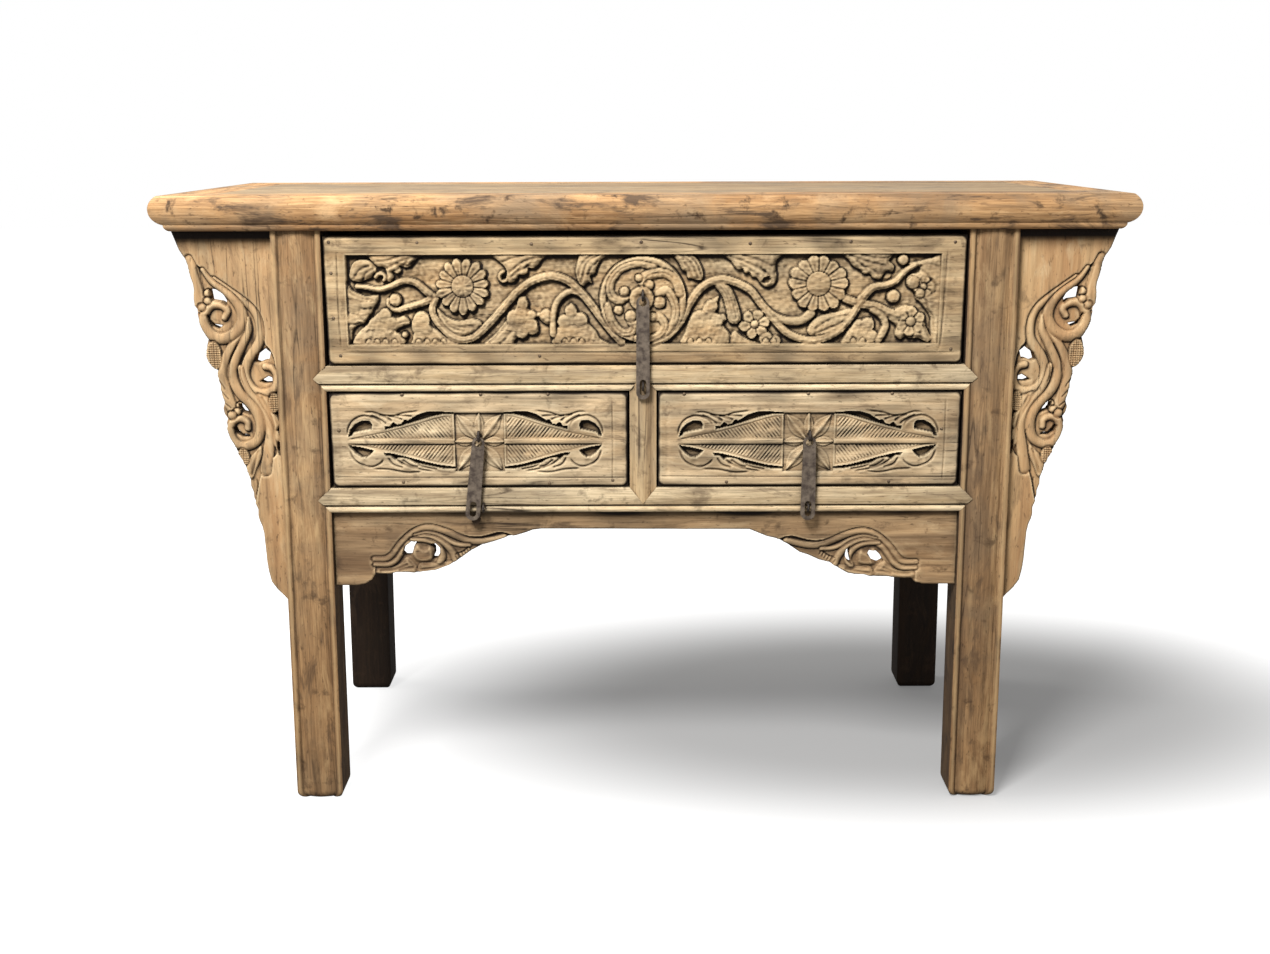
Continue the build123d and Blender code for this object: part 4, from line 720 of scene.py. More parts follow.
edge_curve = [(-603, 768), (-594, 764), (-577, 750), (-560, 737), (-540, 722), (-527, 710), (-515, 695),
              (-509, 680), (-507, 665), (-506, 655), (-499, 645), (-494, 620), (-494, 540), (-500, 505),
              (-512, 494), (-523, 476), (-529, 455), (-533, 436)]
carved = np.concatenate([curve(edge_curve), [(-560, 436), (-640, 560), (-640, 768)]])
w, x, z = spandrel.window(carved, 2)
spandrel.h[w] -= 5.0 * smooth(within(x, z, carved) / 1.6)

# leaf on the outer edge
spandrel.stem([(-600, 768), (-596, 757), (-594, 739), (-592, 721), (-589, 706)], 6.0, 9.5, -0.5, 2.6)
spandrel.groove([(-592, 760), (-588, 742), (-584, 722)], 1.0, 1.6)

# stems that come down under the plain corner and roll into the scrolls
spandrel.stem([(-569, 742), (-552, 729), (-533, 714), (-521, 702), (-514, 688), (-512, 673), (-514, 660),
               (-521, 648), (-531, 634), (-537, 618), (-535, 604), (-526, 592), (-513, 588), (-501, 592),
               (-495, 602), (-495, 614), (-501, 622), (-509, 624)], 4.0, 4.6, -0.5, 3.0, belly=2.0)
spandrel.stem([(-542, 622), (-538, 603), (-530, 586), (-516, 570), (-510, 554), (-508, 533), (-512, 509),
               (-517, 481)], 4.5, 8.0, -0.8, 2.6)
spandrel.stem([(-539, 672), (-552, 652), (-563, 632), (-567, 612), (-564, 591), (-560, 574), (-555, 563)],
              5.0, 8.0, -0.8, 2.8)
spandrel.stem([(-530, 688), (-529, 672), (-539, 652), (-548, 635), (-554, 618), (-552, 601), (-544, 586),
               (-532, 573), (-523, 557), (-521, 540), (-527, 523), (-542, 515), (-555, 519), (-562, 532),
               (-559, 547), (-549, 553), (-539, 549), (-538, 540)], 4.6, 4.2, -0.5, 3.0, belly=2.2)
spandrel.stem([(-583, 754), (-572, 738), (-558, 727), (-545, 715), (-537, 701), (-536, 686), (-544, 672),
               (-558, 663), (-571, 663), (-582, 671), (-587, 684), (-583, 699), (-574, 707), (-562, 706),
               (-555, 699), (-559, 690)], 3.6, 4.2, -0.4, 3.2, belly=3.4)

# scalloped leaf against the leg, and the pointed one under the lowest scroll
spandrel.leaf([(-523, 589), (-512, 586), (-505, 580), (-502, 567), (-497, 554), (-494, 543), (-498, 536),
               (-495, 528), (-495, 516), (-494, 498), (-500, 507), (-505, 524), (-505, 542), (-511, 559),
               (-519, 574)], -1.0, 1.8, veins=[[(-516, 582), (-505, 556), (-499, 516)]])
spandrel.leaf([(-522, 515), (-522, 502), (-530, 485), (-538, 469), (-544, 486), (-537, 500), (-529, 508)],
              -1.2, 1.8, veins=[[(-526, 508), (-532, 492), (-537, 476)]])

# curled feet of the leaves, as small balls, and the cuts of their lobes
for ball_x, ball_z, ball_radius in ((-579, 722, 5), (-580, 712, 5), (-588, 704, 5.5), (-547, 571, 4.5),
                                    (-551, 563, 5), (-558, 558, 6)):
    spandrel.ball(ball_x, ball_z, ball_radius, -1.2)
for points in ([(-576, 610), (-568, 600), (-564, 592)], [(-574, 594), (-566, 586), (-560, 579)],
               [(-572, 577), (-563, 572), (-557, 567)], [(-534, 645), (-541, 628), (-543, 612), (-539, 598)],
               [(-544, 655), (-555, 634), (-559, 612)], [(-533, 445), (-530, 458), (-531, 470)]):
    spandrel.groove(points, 1.0, 1.8)

# seed heads, cut criss-cross
for middle, reach in (((-577, 639), (10, 19)), ((-500, 575), (7, 13)), ((-547, 500), (8, 12))):
    w, x, z = spandrel.window(np.add(middle, [np.negative(reach), reach]), 3)
    inside = (1 - np.hypot((x - middle[0]) / reach[0], (z - middle[1]) / reach[1])) * min(reach)
    seeds = np.cos((x + z) * SEED_CUTS) * np.cos((x - z) * SEED_CUTS)
    spandrel.raise_to(w, inside, -2.6 + 1.3 * seeds, moat=1.2)

# the chisel's unevenness, and the worn edges of all that is pierced
spandrel.h -= 0.3 + 0.3 * waver(spandrel.x, spandrel.z * 0.15, 12, 21)
spandrel.h -= 1.6 * np.clip(1 - keep / 2.6, 0, 1) ** 2
spandrel.h = np.minimum(spandrel.h, 0)


def facing(relief):
    """The same carving as seen in a mirror, for the other side."""
    other = Relief.__new__(Relief)
    other.xs, other.zs = -relief.xs[::-1], relief.zs
    other.x, other.z, other.h = -relief.x[::-1], relief.z[::-1], relief.h[::-1].copy()
    return other


# painted shadow under the overhang of the top, darkest close under it
painted_shadow = 0.95 * smooth((spandrel.z - 787) / 12) + 0.3 * smooth((spandrel.z - 765) / 30)
for label, relief, distance in (("left", spandrel, keep), ("right", facing(spandrel), keep[::-1])):
    piece = carved_board(f"spandrel_carved_{label}", relief, SPANDREL_FACE, SPANDREL_BACK, spandrel_elm_z,
                         distance, painted_shadow)
    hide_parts(f"spandrel_front_{label}")
    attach(piece, "frame")
finish_with(dark_elm_z, "spandrel_back_left", "spandrel_back_right")


# ------------------------------------------------------------------ apron
# One long elm board, tongued into the front legs and the rail over it.  It ends in pierced
# scrolls, and a flat arch joins them.  A short whittled peg stands in it, dark with age.
APRON_FOOT = 318.5
APRON_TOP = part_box("lower_rail_front")[0].z / MM
APRON_FACE, APRON_BACK = -224.0, -206.0
APRON_CELL = 1.2             # steps of the carving's grid
SCROLL_DROP = 6.5            # the right scroll sits lower than the left one
apron_elm_x = elm("apron_elm_along_x", 0, "#CDAC81", "#AE8C65", "#543E2A", "#766753", weather=0.4, stain=0.7,
                  bright="#DEC196")
left_foot = [(-400, 318.5), (-388, 321), (-379, 327), (-374, 334.5), (-355, 334), (-345, 337), (-330, 337),
             (-320, 336), (-308, 338), (-290, 340), (-270, 348), (-255, 357), (-240, 368), (-225, 376),
             (-210, 381), (-190, 388), (-178, 390), (-165, 394), (-155, 398), (-143, 399.5)]
right_foot = [(143, 398), (155, 393), (167, 388), (180, 385), (195, 376.5), (206, 369), (213, 364),
              (225, 360), (240, 353), (255, 349), (268, 341), (280, 334), (292, 332), (303, 332),
              (311, 329), (335, 329), (345, 327), (368, 326), (375, 321), (386, 318.6), (400, 318.5)]


def leg_gap(z):
    """Distance from the middle to a front leg's inner face at that height."""
    return leg_side(z) - LEG_WIDTH


apron = Relief(-leg_gap(APRON_FOOT), leg_gap(APRON_FOOT), APRON_FOOT, APRON_TOP, APRON_CELL)
ends = [(leg_gap(APRON_FOOT), APRON_FOOT), (leg_gap(APRON_TOP), APRON_TOP)]
rim = [(-x, z) for x, z in ends[::-1]] + left_foot + right_foot + ends
keep = within(apron.x, apron.z, rim)


def apron_scroll(side, drop, eyes):
    """A rolled leaf round two pierced eyes, under a double line that runs out along the arch.  Gives
    back the distance to each eye, positive inside."""
    def at(points):
        """The same points on this scroll's side, lowered by the drop."""
        return [(side * x, z - drop) for x, z in points]

    outer = at([(374, 361), (360, 361.5), (352, 367), (343, 380), (332, 392), (318, 402), (303, 407),
                (288, 406), (270, 400), (255, 393), (243, 389.5), (228, 389), (214, 392), (203, 395),
                (192, 394), (182, 390)])
    zone = np.concatenate([curve(outer), at([(182, 370), (250, 330), (374, 310)])])
    w, x, z = apron.window(zone, 2)
    apron.h[w] -= 4.2 * smooth(within(x, z, zone) / 1.4)
    apron.stem(at([(374, 356.5), (359, 357), (349, 363), (339, 376), (328, 387), (316, 396), (303, 401),
                   (288, 400), (270, 394), (255, 387), (242, 382), (226, 381), (208, 384), (194, 388)]),
               5.0, 4.0, -0.3, 2.4, belly=1.0)
    apron.stem(at([(374, 348), (356, 348), (345, 354), (337, 365), (327, 378), (314, 386), (300, 388),
                   (286, 384), (274, 375), (266, 364), (262, 353)]), 4.0, 5.0, -0.6, 2.8)
    apron.stem(at([(318, 391), (300, 394), (282, 389), (268, 380), (256, 376), (243, 376)]), 2.4, 3.4,
               -1.6, 2.0)
    apron.stem(at([(322, 384), (303, 383), (291, 378), (283, 370), (280, 360), (284, 350)]), 3.5, 5.0,
               -0.8, 2.8)
    apron.leaf(at([(322, 358), (323, 369), (317, 377), (311, 377), (305, 372), (298, 376), (292, 371),
                   (291, 362), (293, 354), (303, 350), (315, 351)]), -0.8, 3.4)
    apron.leaf(at([(374, 343), (352, 343), (338, 350), (330, 358), (322, 352), (316, 342), (322, 333),
                   (374, 333)]), -1.2, 2.0,
               veins=[at([(366, 339), (346, 341), (330, 348)]), at([(340, 340), (330, 343), (322, 344)])])
    apron.leaf(at([(312, 349), (300, 350), (286, 349), (274, 352), (266, 351), (272, 342), (300, 334),
                   (316, 334)]), -1.2, 2.0,
               veins=[at([(310, 341), (294, 343), (278, 347)])])
    for share in np.linspace(0, 1, 6):
        apron.groove(at([(263 - 20 * share, 361 + 12 * share), (257 - 17 * share, 352 + 14 * share)]),
                     0.9, 1.6)
    apron.groove(at([(264, 362), (252, 366), (243, 374)]), 1.1, 2.0)
    return [within(apron.x, apron.z, [(side * x, z) for x, z in eye]) for eye in eyes]


left_eyes = [[(335, 364), (332, 374), (323, 381), (315, 380), (319, 374), (321, 366), (324, 360),
              (331, 360)],
             [(297, 377), (289, 378.5), (283, 372), (283.5, 363), (288, 356), (294, 356), (290.5, 363),
              (290.5, 371)]]
right_eyes = [[(306, 361), (309, 366.5), (318, 366), (324, 360), (329, 351), (322, 347), (314, 350),
               (310, 357)],
              [(281, 372), (277, 368), (276, 358), (279, 351), (285, 347), (283, 353), (281, 362)]]
for outline in apron_scroll(-1, 0.0, left_eyes) + apron_scroll(1, SCROLL_DROP, right_eyes):
    keep = np.minimum(keep, -outline)
apron.h -= 0.3 + 0.3 * waver(apron.x * 0.15, apron.z, 12, 31)
apron.h -= 1.4 * np.clip(1 - keep / 2.4, 0, 1) ** 2
apron.h = np.minimum(apron.h, 0)

# painted shadow under the rail, and the board darker towards the middle
painted_shadow = 0.7 * smooth((apron.z - APRON_TOP + 11) / 9) + 0.35 * smooth((apron.z - APRON_TOP + 32) / 30)
painted_shadow = painted_shadow + 0.3 * smooth(1.2 - np.abs(apron.x) / 300)
apron_piece = carved_board("apron_carved", apron, APRON_FACE, APRON_BACK, apron_elm_x, keep,
                           painted_shadow * (0.8 + 0.3 * waver(apron.x * 0.3, apron.z, 40, 33)))
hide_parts("apron_front")
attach(apron_piece, "frame")
finish_with(dark_elm_z, "apron_peg")


# ------------------------------------------------------------------ top
# Frame of elm with mitred corners.  Two flat boards are tongued into it, with two battens under
# them, and the thick round edge has a small moulding below.  The open air has greyed the upper
# face and stained the edge.
TOP_WEAR = 1.2               # mm by which use has rounded its edges
EDGE_ELM = ("#C1996B", "#A37B51", "#644730", "#85745E")
EDGE_FINISH = dict(weather=0.65, stain=0.95, line=1.8, bright="#DCB788")
top_edge_x = elm("top_elm_along_x", 0, *EDGE_ELM, **EDGE_FINISH)
top_edge_y = elm("top_elm_along_y", 1, *EDGE_ELM, **EDGE_FINISH)
top_face_x = elm("top_boards_along_x", 0, "#A08B6C", "#877155", "#5E4B36", "#7B6E5C", weather=0.6, stain=0.4,
                 bright="#B7A180")
finish_with(top_edge_x, "top_front_rail", "top_back_rail")
finish_with(top_edge_y, "top_left_end", "top_right_end")
finish_with(top_face_x, "top_panel_front", "top_panel_back")
finish_with(inner_elm_y, "top_batten_left", "top_batten_right")
worn_edges(TOP_WEAR, "top_front_rail", "top_back_rail", "top_left_end", "top_right_end")


# ------------------------------------------------------------------ drawer boxes
# Sides, back and bottom of each drawer in bare brown elm.  The sides are dovetailed to the front,
# and grooves in them hold the back and the bottom.
inner_elm_x = elm("inner_elm_along_x", 0, *INNER_ELM, bright="#8A6E50")
finish_with(inner_elm_x, *[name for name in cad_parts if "drawer_back" in name])
finish_with(inner_elm_y, *[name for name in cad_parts
                           if "drawer_side" in name or "drawer_bottom" in name])


# ------------------------------------------------------------------ upper drawer front
# One elm board, carved in the solid: a plain border with a scored line, and in it a sunk ground
# over which a vine runs from a round medallion to both ends, through two flowers and between
# leaves that grow from the border.  Carved with gouges, so edges are soft and grounds rough.
GROUND = 9.0                 # depth of the sunk ground
TAIL_SHOW = 0.5              # how far the sides' dovetails stand out of a front's ends
UPPER_CELL = 1.25            # steps of the carving's grid
WORN_CORNER = 9.0            # radius of the wear at a front's corners
BOSS_CUTS = 9                # short cuts in a flower's boss


def rim_distance(board):
    """Distance to the nearest of the four sides, less near a corner, which wear has rounded."""
    x, z = board.x, board.z
    across = np.minimum(x - board.xs[0], board.xs[-1] - x)
    up = np.minimum(z - board.zs[0], board.zs[-1] - z)
    gaps = (np.clip(WORN_CORNER - gap, 0, WORN_CORNER) for gap in (across, up))
    corner = WORN_CORNER - np.hypot(*gaps)
    return np.minimum(np.minimum(across, up), corner)


def rim_shade_and_grime(board, gap, seed):
    """Painted shade in a thin band round a front's rim, and hand grime: most at the sides, in
    patches that fade inwards.
    """
    patches = 0.5 + 0.5 * waver(board.x * 0.4, board.z, 30, seed)
    return 0.65 * smooth(1 - gap / 4) + 0.62 * smooth(1 - gap / 24) * np.clip(patches, 0, 1)


front_elm_x = elm("front_elm_along_x", 0, LIGHT, MID, DARK, GREY)
low, high = (np.array(corner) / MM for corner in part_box("upper_drawer_front"))
upper = Relief(low[0] + TAIL_SHOW, high[0] - TAIL_SHOW, low[2], high[2], UPPER_CELL)
field = [(-392, 655), (388, 655), (388, 773), (-392, 773)]
upper.sink(field, GROUND, 0.9)
ground_marks = 0.5 * waver(upper.x, upper.z, 9, 3) + 0.4 * waver(upper.x * 0.3, upper.z, 5, 4)
upper.h += ground_marks * (upper.h < -5)

# leaves that grow from the upper border, from left to right
upper.leaf([(-388, 742), (-386, 757), (-379, 765), (-366, 767), (-356, 762), (-352, 753), (-358, 745),
            (-366, 741), (-376, 738)], -1.6,
           veins=[[(-382, 744), (-374, 754), (-362, 759)], [(-370, 742), (-366, 750), (-357, 755)]])
upper.leaf([(-359, 775), (-356, 763), (-350, 758), (-342, 757), (-339, 749), (-342, 741), (-335, 738),
            (-330, 744), (-332, 751), (-325, 749), (-320, 752), (-322, 759), (-315, 757), (-308, 758),
            (-303, 763), (-297, 770), (-290, 775)], -0.7,
           veins=[[(-296, 772), (-318, 766), (-338, 756)], [(-322, 772), (-338, 766), (-350, 765)],
                  [(-312, 764), (-320, 757), (-330, 752)], [(-300, 768), (-306, 762), (-312, 759)]])
upper.scroll(-346, 743, 7.5, 4, 170, -0.6, 2.6, 2.2, -1.0)
upper.leaf([(-198, 775), (-191, 764), (-184, 757), (-181, 748), (-183, 740), (-176, 736), (-168, 741),
            (-166, 747), (-160, 746), (-154, 750), (-153, 756), (-147, 755), (-140, 760), (-135, 767),
            (-130, 775)], -0.7,
           veins=[[(-136, 770), (-158, 765), (-178, 750)], [(-160, 772), (-176, 768), (-186, 764)],
                  [(-150, 762), (-158, 756), (-166, 752)], [(-163, 757), (-170, 750), (-176, 744)]])
upper.scroll(-185, 743, 8, 4, 95, 0.6, 2.4, 2.0, -1.0)
upper.leaf([(-82, 775), (-88, 765), (-91, 750), (-87, 735), (-80, 732), (-74, 737), (-70, 735),
            (-72, 745), (-66, 748), (-63, 757), (-58, 766), (-47, 775)], -0.7,
           veins=[[(-60, 773), (-76, 762), (-84, 738)], [(-68, 774), (-82, 762), (-88, 746)],
                  [(-62, 764), (-70, 757), (-75, 748)]])
upper.leaf([(36, 775), (44, 762), (49, 752), (54, 750), (56, 742), (62, 741), (68, 739), (75, 740),
            (76, 750), (72, 761), (66, 769), (58, 775)], -0.7,
           veins=[[(46, 773), (60, 762), (70, 742)], [(52, 774), (66, 764), (73, 748)],
                  [(52, 762), (58, 754), (61, 745)]])
upper.leaf([(106, 775), (113, 764), (121, 753), (128, 754), (131, 748), (137, 749), (141, 743),
            (147, 742), (151, 736), (158, 730), (168, 732), (173, 742), (171, 756), (173, 766),
            (179, 775)], -0.7,
           veins=[[(112, 770), (134, 762), (158, 750)], [(128, 772), (148, 766), (166, 758)],
                  [(126, 760), (138, 753), (148, 746)], [(152, 755), (162, 746), (166, 738)]])
upper.sink([(152, 737), (156, 743), (163, 745), (166, 740), (162, 735), (156, 734)], 7)
upper.leaf([(261, 775), (267, 765), (274, 756), (283, 752), (287, 747), (295, 747), (300, 741),
            (309, 740), (314, 747), (325, 750), (326, 758), (319, 764), (322, 775)], -0.7,
           veins=[[(268, 771), (288, 764), (314, 758)], [(284, 772), (302, 768), (318, 768)],
                  [(284, 758), (296, 754), (306, 746)], [(278, 764), (286, 757), (290, 752)]])
upper.sink([(313, 741), (314, 750), (319, 752), (325, 747), (323, 742), (318, 739)], 7)

# leaves of both ends
upper.leaf([(-394, 735), (-386, 727), (-378, 723), (-366, 719), (-352, 721), (-352, 712), (-358, 704),
            (-361, 697), (-366, 692), (-371, 684), (-380, 681), (-387, 675), (-389, 662), (-394, 655)],
           -0.9, veins=[[(-390, 716), (-378, 712), (-366, 714)], [(-390, 698), (-378, 694), (-370, 696)],
                        [(-391, 684), (-385, 682), (-378, 684)], [(-388, 724), (-376, 718), (-358, 714)],
                        [(-384, 708), (-372, 703), (-362, 703)]])
upper.leaf([(344, 760), (360, 763), (376, 767), (390, 765), (390, 655), (379, 656), (378, 674),
            (377, 690), (369, 702), (362, 710), (357, 714), (355, 724), (350, 727), (345, 733),
            (344, 740), (350, 746), (359, 748), (361, 755), (353, 757)], -0.9,
           veins=[[(362, 752), (372, 744), (376, 730)], [(366, 738), (372, 736), (376, 740)],
                  [(372, 724), (380, 722), (382, 732), (377, 738), (371, 732)],
                  [(364, 718), (370, 712), (372, 704)], [(372, 700), (380, 690), (382, 672)],
                  [(361, 757), (372, 760), (384, 756)]])
upper.leaf([(318, 690), (328, 699), (343, 705), (356, 701), (368, 690), (372, 677), (379, 662),
            (374, 656), (362, 662), (352, 661), (345, 664), (338, 660), (331, 667), (333, 677),
            (327, 683)], -1.0,
           veins=[[(322, 692), (336, 686), (350, 690), (356, 700)], [(336, 686), (342, 676), (345, 664)],
                  [(342, 684), (354, 680), (372, 678)], [(350, 678), (354, 668), (353, 661)],
                  [(356, 678), (364, 670), (366, 661)]])

# leaves that rise from the lower border: a flat body, and round lobes with flowers over it
upper.leaf([(-384, 653), (-381, 670), (-368, 681), (-358, 692), (-348, 700), (-338, 703), (-336, 694),
            (-328, 690), (-320, 693), (-314, 690), (-311, 683), (-318, 680), (-326, 677), (-330, 672),
            (-322, 668), (-318, 662), (-325, 653)], -0.9,
           veins=[[(-380, 660), (-368, 672), (-358, 680)], [(-326, 684), (-319, 686), (-314, 686)]])
upper.lobes([(-343, 695, 8), (-356, 681, 10), (-337, 683, 9), (-352, 665, 10), (-331, 662, 9),
             (-370, 663, 8)])
upper.leaf([(-306, 653), (-306, 667), (-309, 676), (-308, 686), (-301, 697), (-292, 699), (-286, 691),
            (-284, 680), (-275, 674), (-262, 664), (-240, 653)], -1.0,
           veins=[[(-268, 657), (-276, 664), (-282, 672)]])
upper.lobes([(-295, 688, 11), (-299, 664, 9), (-282, 662, 8), (-291, 675, 8)])
upper.leaf([(-275, 703), (-263, 692), (-246, 686), (-229, 689), (-216, 684), (-222, 673), (-240, 666),
            (-258, 670), (-270, 682)], -1.4,
           veins=[[(-268, 692), (-250, 680), (-228, 680)], [(-262, 684), (-252, 676), (-240, 673)]])
upper.leaf([(-214, 653), (-200, 667), (-188, 681), (-178, 693), (-170, 704), (-167, 716), (-158, 718),
            (-155, 711), (-154, 702), (-146, 697), (-138, 697), (-131, 702), (-127, 697), (-137, 692),
            (-146, 690), (-147, 684), (-141, 679), (-142, 671), (-150, 667), (-157, 669), (-163, 664),
            (-170, 664), (-174, 657), (-176, 653)], -1.0,
           veins=[[(-206, 658), (-192, 672), (-182, 684)], [(-192, 657), (-184, 664), (-178, 672)]])
upper.lobes([(-161, 709, 7), (-171, 689, 12), (-151, 681, 9), (-163, 671, 8), (-150, 694, 6)])
upper.leaf([(-140, 691), (-131, 702), (-122, 695), (-120, 686), (-130, 681)], -1.2)
upper.leaf([(-118, 653), (-120, 668), (-113, 681), (-106, 691), (-103, 703), (-98, 709), (-92, 705),
            (-90, 697), (-82, 694), (-77, 687), (-73, 680), (-65, 672), (-60, 662), (-48, 653)], -1.0)
upper.lobes([(-98, 699, 8), (-107, 685, 9), (-86, 687, 10), (-96, 672, 10), (-112, 663, 8), (-80, 666, 9)])
upper.leaf([(50, 653), (53, 670), (57, 682), (60, 690), (67, 697), (75, 698), (79, 707), (88, 713),
            (97, 718), (95, 708), (92, 699), (97, 694), (104, 694), (108, 688), (103, 680), (113, 668),
            (115, 657), (110, 653)], -1.0, veins=[[(62, 660), (66, 668), (68, 674)]])
upper.lobes([(88, 705, 8), (72, 687, 12), (94, 686, 9), (82, 669, 12), (101, 665, 10), (63, 667, 9)])
upper.leaf([(114, 653), (113, 664), (119, 672), (128, 665), (136, 661), (150, 656), (150, 653)], -2.2)
upper.flower(145, 681, 20, 6, 5, 0.32, 0.3)
upper.lobes([(160, 662, 9), (173, 659, 7)], -1.2)
upper.leaf([(262, 653), (266, 666), (272, 676), (280, 686), (290, 686), (300, 689), (303, 680),
            (302, 672), (309, 668), (306, 658), (312, 653)], -1.0)
upper.lobes([(294, 680, 9), (280, 670, 9), (300, 665, 8), (286, 660, 8)])
upper.leaf([(222, 686), (236, 693), (252, 696), (270, 701), (277, 696), (270, 684), (260, 672),
            (240, 665), (222, 664), (215, 672)], -1.6,
           veins=[[(226, 676), (246, 688), (270, 694)], [(224, 668), (244, 676), (262, 684)]])
upper.flower(351, 684, 19, 6, 6, 0.3, 0.1)
upper.flower(366, 730, 14, 5, 4, 0.3, 0.5)
upper.lobes([(-383, 707, 9), (-372, 695, 7), (-389, 689, 7)], -0.8)

# rows of small scallops along the lower border
for x in (-366, -355, -344, -332, -300, -289, -278, -267, -106, -95, -84, 60, 72, 84, 160, 170, 276, 288):
    upper.groove([(x - 5, 656), (x - 3.6, 661), (x, 663.5), (x + 3.6, 661), (x + 5, 656)], 1.0, 1.8)

# stems, the vine over them, and the buds at its tips
upper.stem([(-379, 732), (-366, 731), (-350, 728), (-335, 732), (-318, 739), (-302, 737), (-290, 727),
            (-279, 718)], 3.0, 5.0, flutes=1)
upper.stem([(-277, 717), (-297, 709), (-316, 704), (-328, 701), (-337, 706), (-338, 714)], 5.0, 3.0,
           flutes=1)
upper.stem([(-122, 668), (-121, 695), (-114, 714), (-98, 725), (-82, 719), (-68, 703), (-56, 688)], 4.2,
           3.6)
upper.stem([(97, 736), (108, 722), (114, 706), (118, 690)], 7.0, 9.0, -1.2, flutes=3)
upper.stem([(152, 708), (170, 692), (190, 685), (207, 686), (219, 695)], 4.5, 6.0)
upper.stem([(264, 714), (282, 708), (304, 704), (322, 696), (334, 692)], 5.0, 6.0, flutes=1)
upper.stem([(300, 700), (312, 692), (318, 680), (314, 668), (309, 660)], 4.5, 5.0)
upper.stem([(285, 713), (299, 728), (318, 732), (330, 738), (341, 750), (354, 758)], 5.5, 3.4, flutes=1)
vine_left = [(-276, 716), (-281, 700), (-272, 681), (-251, 663), (-228, 664), (-205, 684), (-185, 706),
             (-165, 727), (-145, 740), (-122, 745), (-102, 739), (-88, 727), (-74, 711), (-60, 692),
             (-44, 672), (-31, 657)]
vine_right = [(12, 657), (30, 666), (47, 685), (58, 707), (72, 727), (90, 738), (110, 739), (137, 727),
              (152, 709), (166, 692), (190, 668), (222, 659), (252, 669), (272, 690), (284, 711)]
upper.stem(vine_left, 4.6, 5.4, flutes=1)
upper.stem(vine_right, 5.4, 4.8, flutes=1)
for bud_x, bud_z, bud_radius in ((-329, 714, 8), (327, 717, 8.5), (352, 735, 8), (338, 765, 7),
                                 (362, 721, 6), (-318, 668, 4)):
    upper.ball(bud_x, bud_z, bud_radius)

# two flowers with cuts in their bosses
upper.flower(-240, 732, 36, 15, 14, 0.2, 0.1)
upper.flower(228, 734, 38, 14, 15.5, 0.12, 0.22)
for petal in range(BOSS_CUTS):
    a = 2 * pi * petal / BOSS_CUTS
    upper.groove([(-240 + r * cos(a), 732 + r * sin(a)) for r in (5, 13)], 1.0, 1.0)

# the medallion: a ring round a bowl, in which five stems and seven buds turn about the pull's eye
medal_x, medal_z, medal_radius = -2.8, 713.9, 57.0
w, x, z = upper.window(np.add((medal_x, medal_z), [[-medal_radius], [medal_radius]]), 3)
r = np.hypot(x - medal_x, z - medal_z)
bowl = -5.0 - 0.6 * waver(x, z, 11, 8)
band = -0.2 - 1.6 * np.clip(np.abs(r - 52.8) / 4.6, 0, 1) ** 2
upper.raise_to(w, medal_radius - r, np.where(r > 48.2, band, bowl), moat=1.6)
upper.h[w] -= 2.2 * np.exp(-((r - 47.4) / 1.2) ** 2)
for start, end, points in ((4.5, 6.0, [(12, 757), (-10, 761), (-30, 755), (-43, 742), (-47, 728),
                                       (-43, 718), (-34, 713), (-26, 717)]),
                           (6.0, 7.0, [(46, 722), (41, 738), (29, 748), (16, 749), (5, 746), (-2, 740),
                                       (0, 733)]),
                           (5.0, 6.0, [(27, 670), (38, 684), (41, 700), (36, 716), (28, 726), (19, 722)]),
                           (4.5, 5.5, [(-12, 663), (6, 662), (20, 668), (26, 680), (20, 690), (12, 690)]),
                           (5.0, 6.0, [(-50, 706), (-45, 688), (-34, 673), (-21, 670), (-14, 678),
                                       (-19, 687)])):
    upper.stem(points, start, end, -0.3, 2.6, steps=4)
    upper.groove(points[1:-1], 1.0, 1.3)
for ball_x, ball_z, ball_radius in ((-27, 724, 6.5), (5, 733, 6.5), (19, 710, 8.0), (10, 691, 5.5),
                                    (-19, 692, 7.5), (-35, 700, 6.0), (-8, 742, 5.0)):
    upper.ball(ball_x, ball_z, ball_radius, -0.5)
eye_x, eye_z = -4.5, 715.0
w, x, z = upper.window(np.add((eye_x, eye_z), [[-17], [17]]), 3)
r = np.hypot(x - eye_x, z - eye_z)
upper.raise_to(w, 16.0 - r, -0.3 - 2.4 * np.clip(np.abs(r - 10.5) / 6.5, 0, 1) ** 2, moat=1.2)

# the chisel's small unevenness over all that stands in the field
chips = 0.35 * waver(upper.x, upper.z, 9, 41) + 0.3 * waver(upper.x, upper.z, 6, 42)
in_field = smooth(within(upper.x, upper.z, field) / 3)
upper.h += (chips - 0.3) * in_field * (upper.h > -5)

# scored lines of the border, a little uneven, and the worn rim of the board
upper.groove([(-404, 645.5), (-150, 645), (150, 644), (421, 643)], 0.9, 1.6, fade=0.02)
upper.groove([(-403, 782), (-100, 781.5), (200, 781), (395, 783)], 1.1, 0.7, fade=0.02)
upper.groove([(-403, 646), (-404, 700), (-403, 782)], 1.1, 1.5)
upper.groove([(390, 646), (393, 700), (395, 783)], 1.3, 1.3)
rim_gap = rim_distance(upper)
upper.h -= 3.6 * np.clip(1 - rim_gap / 4.5, 0, 1) ** 2
upper.h -= 0.35 + 0.3 * waver(upper.x * 0.15, upper.z, 13, 5)
upper.h = np.minimum(upper.h, 0)

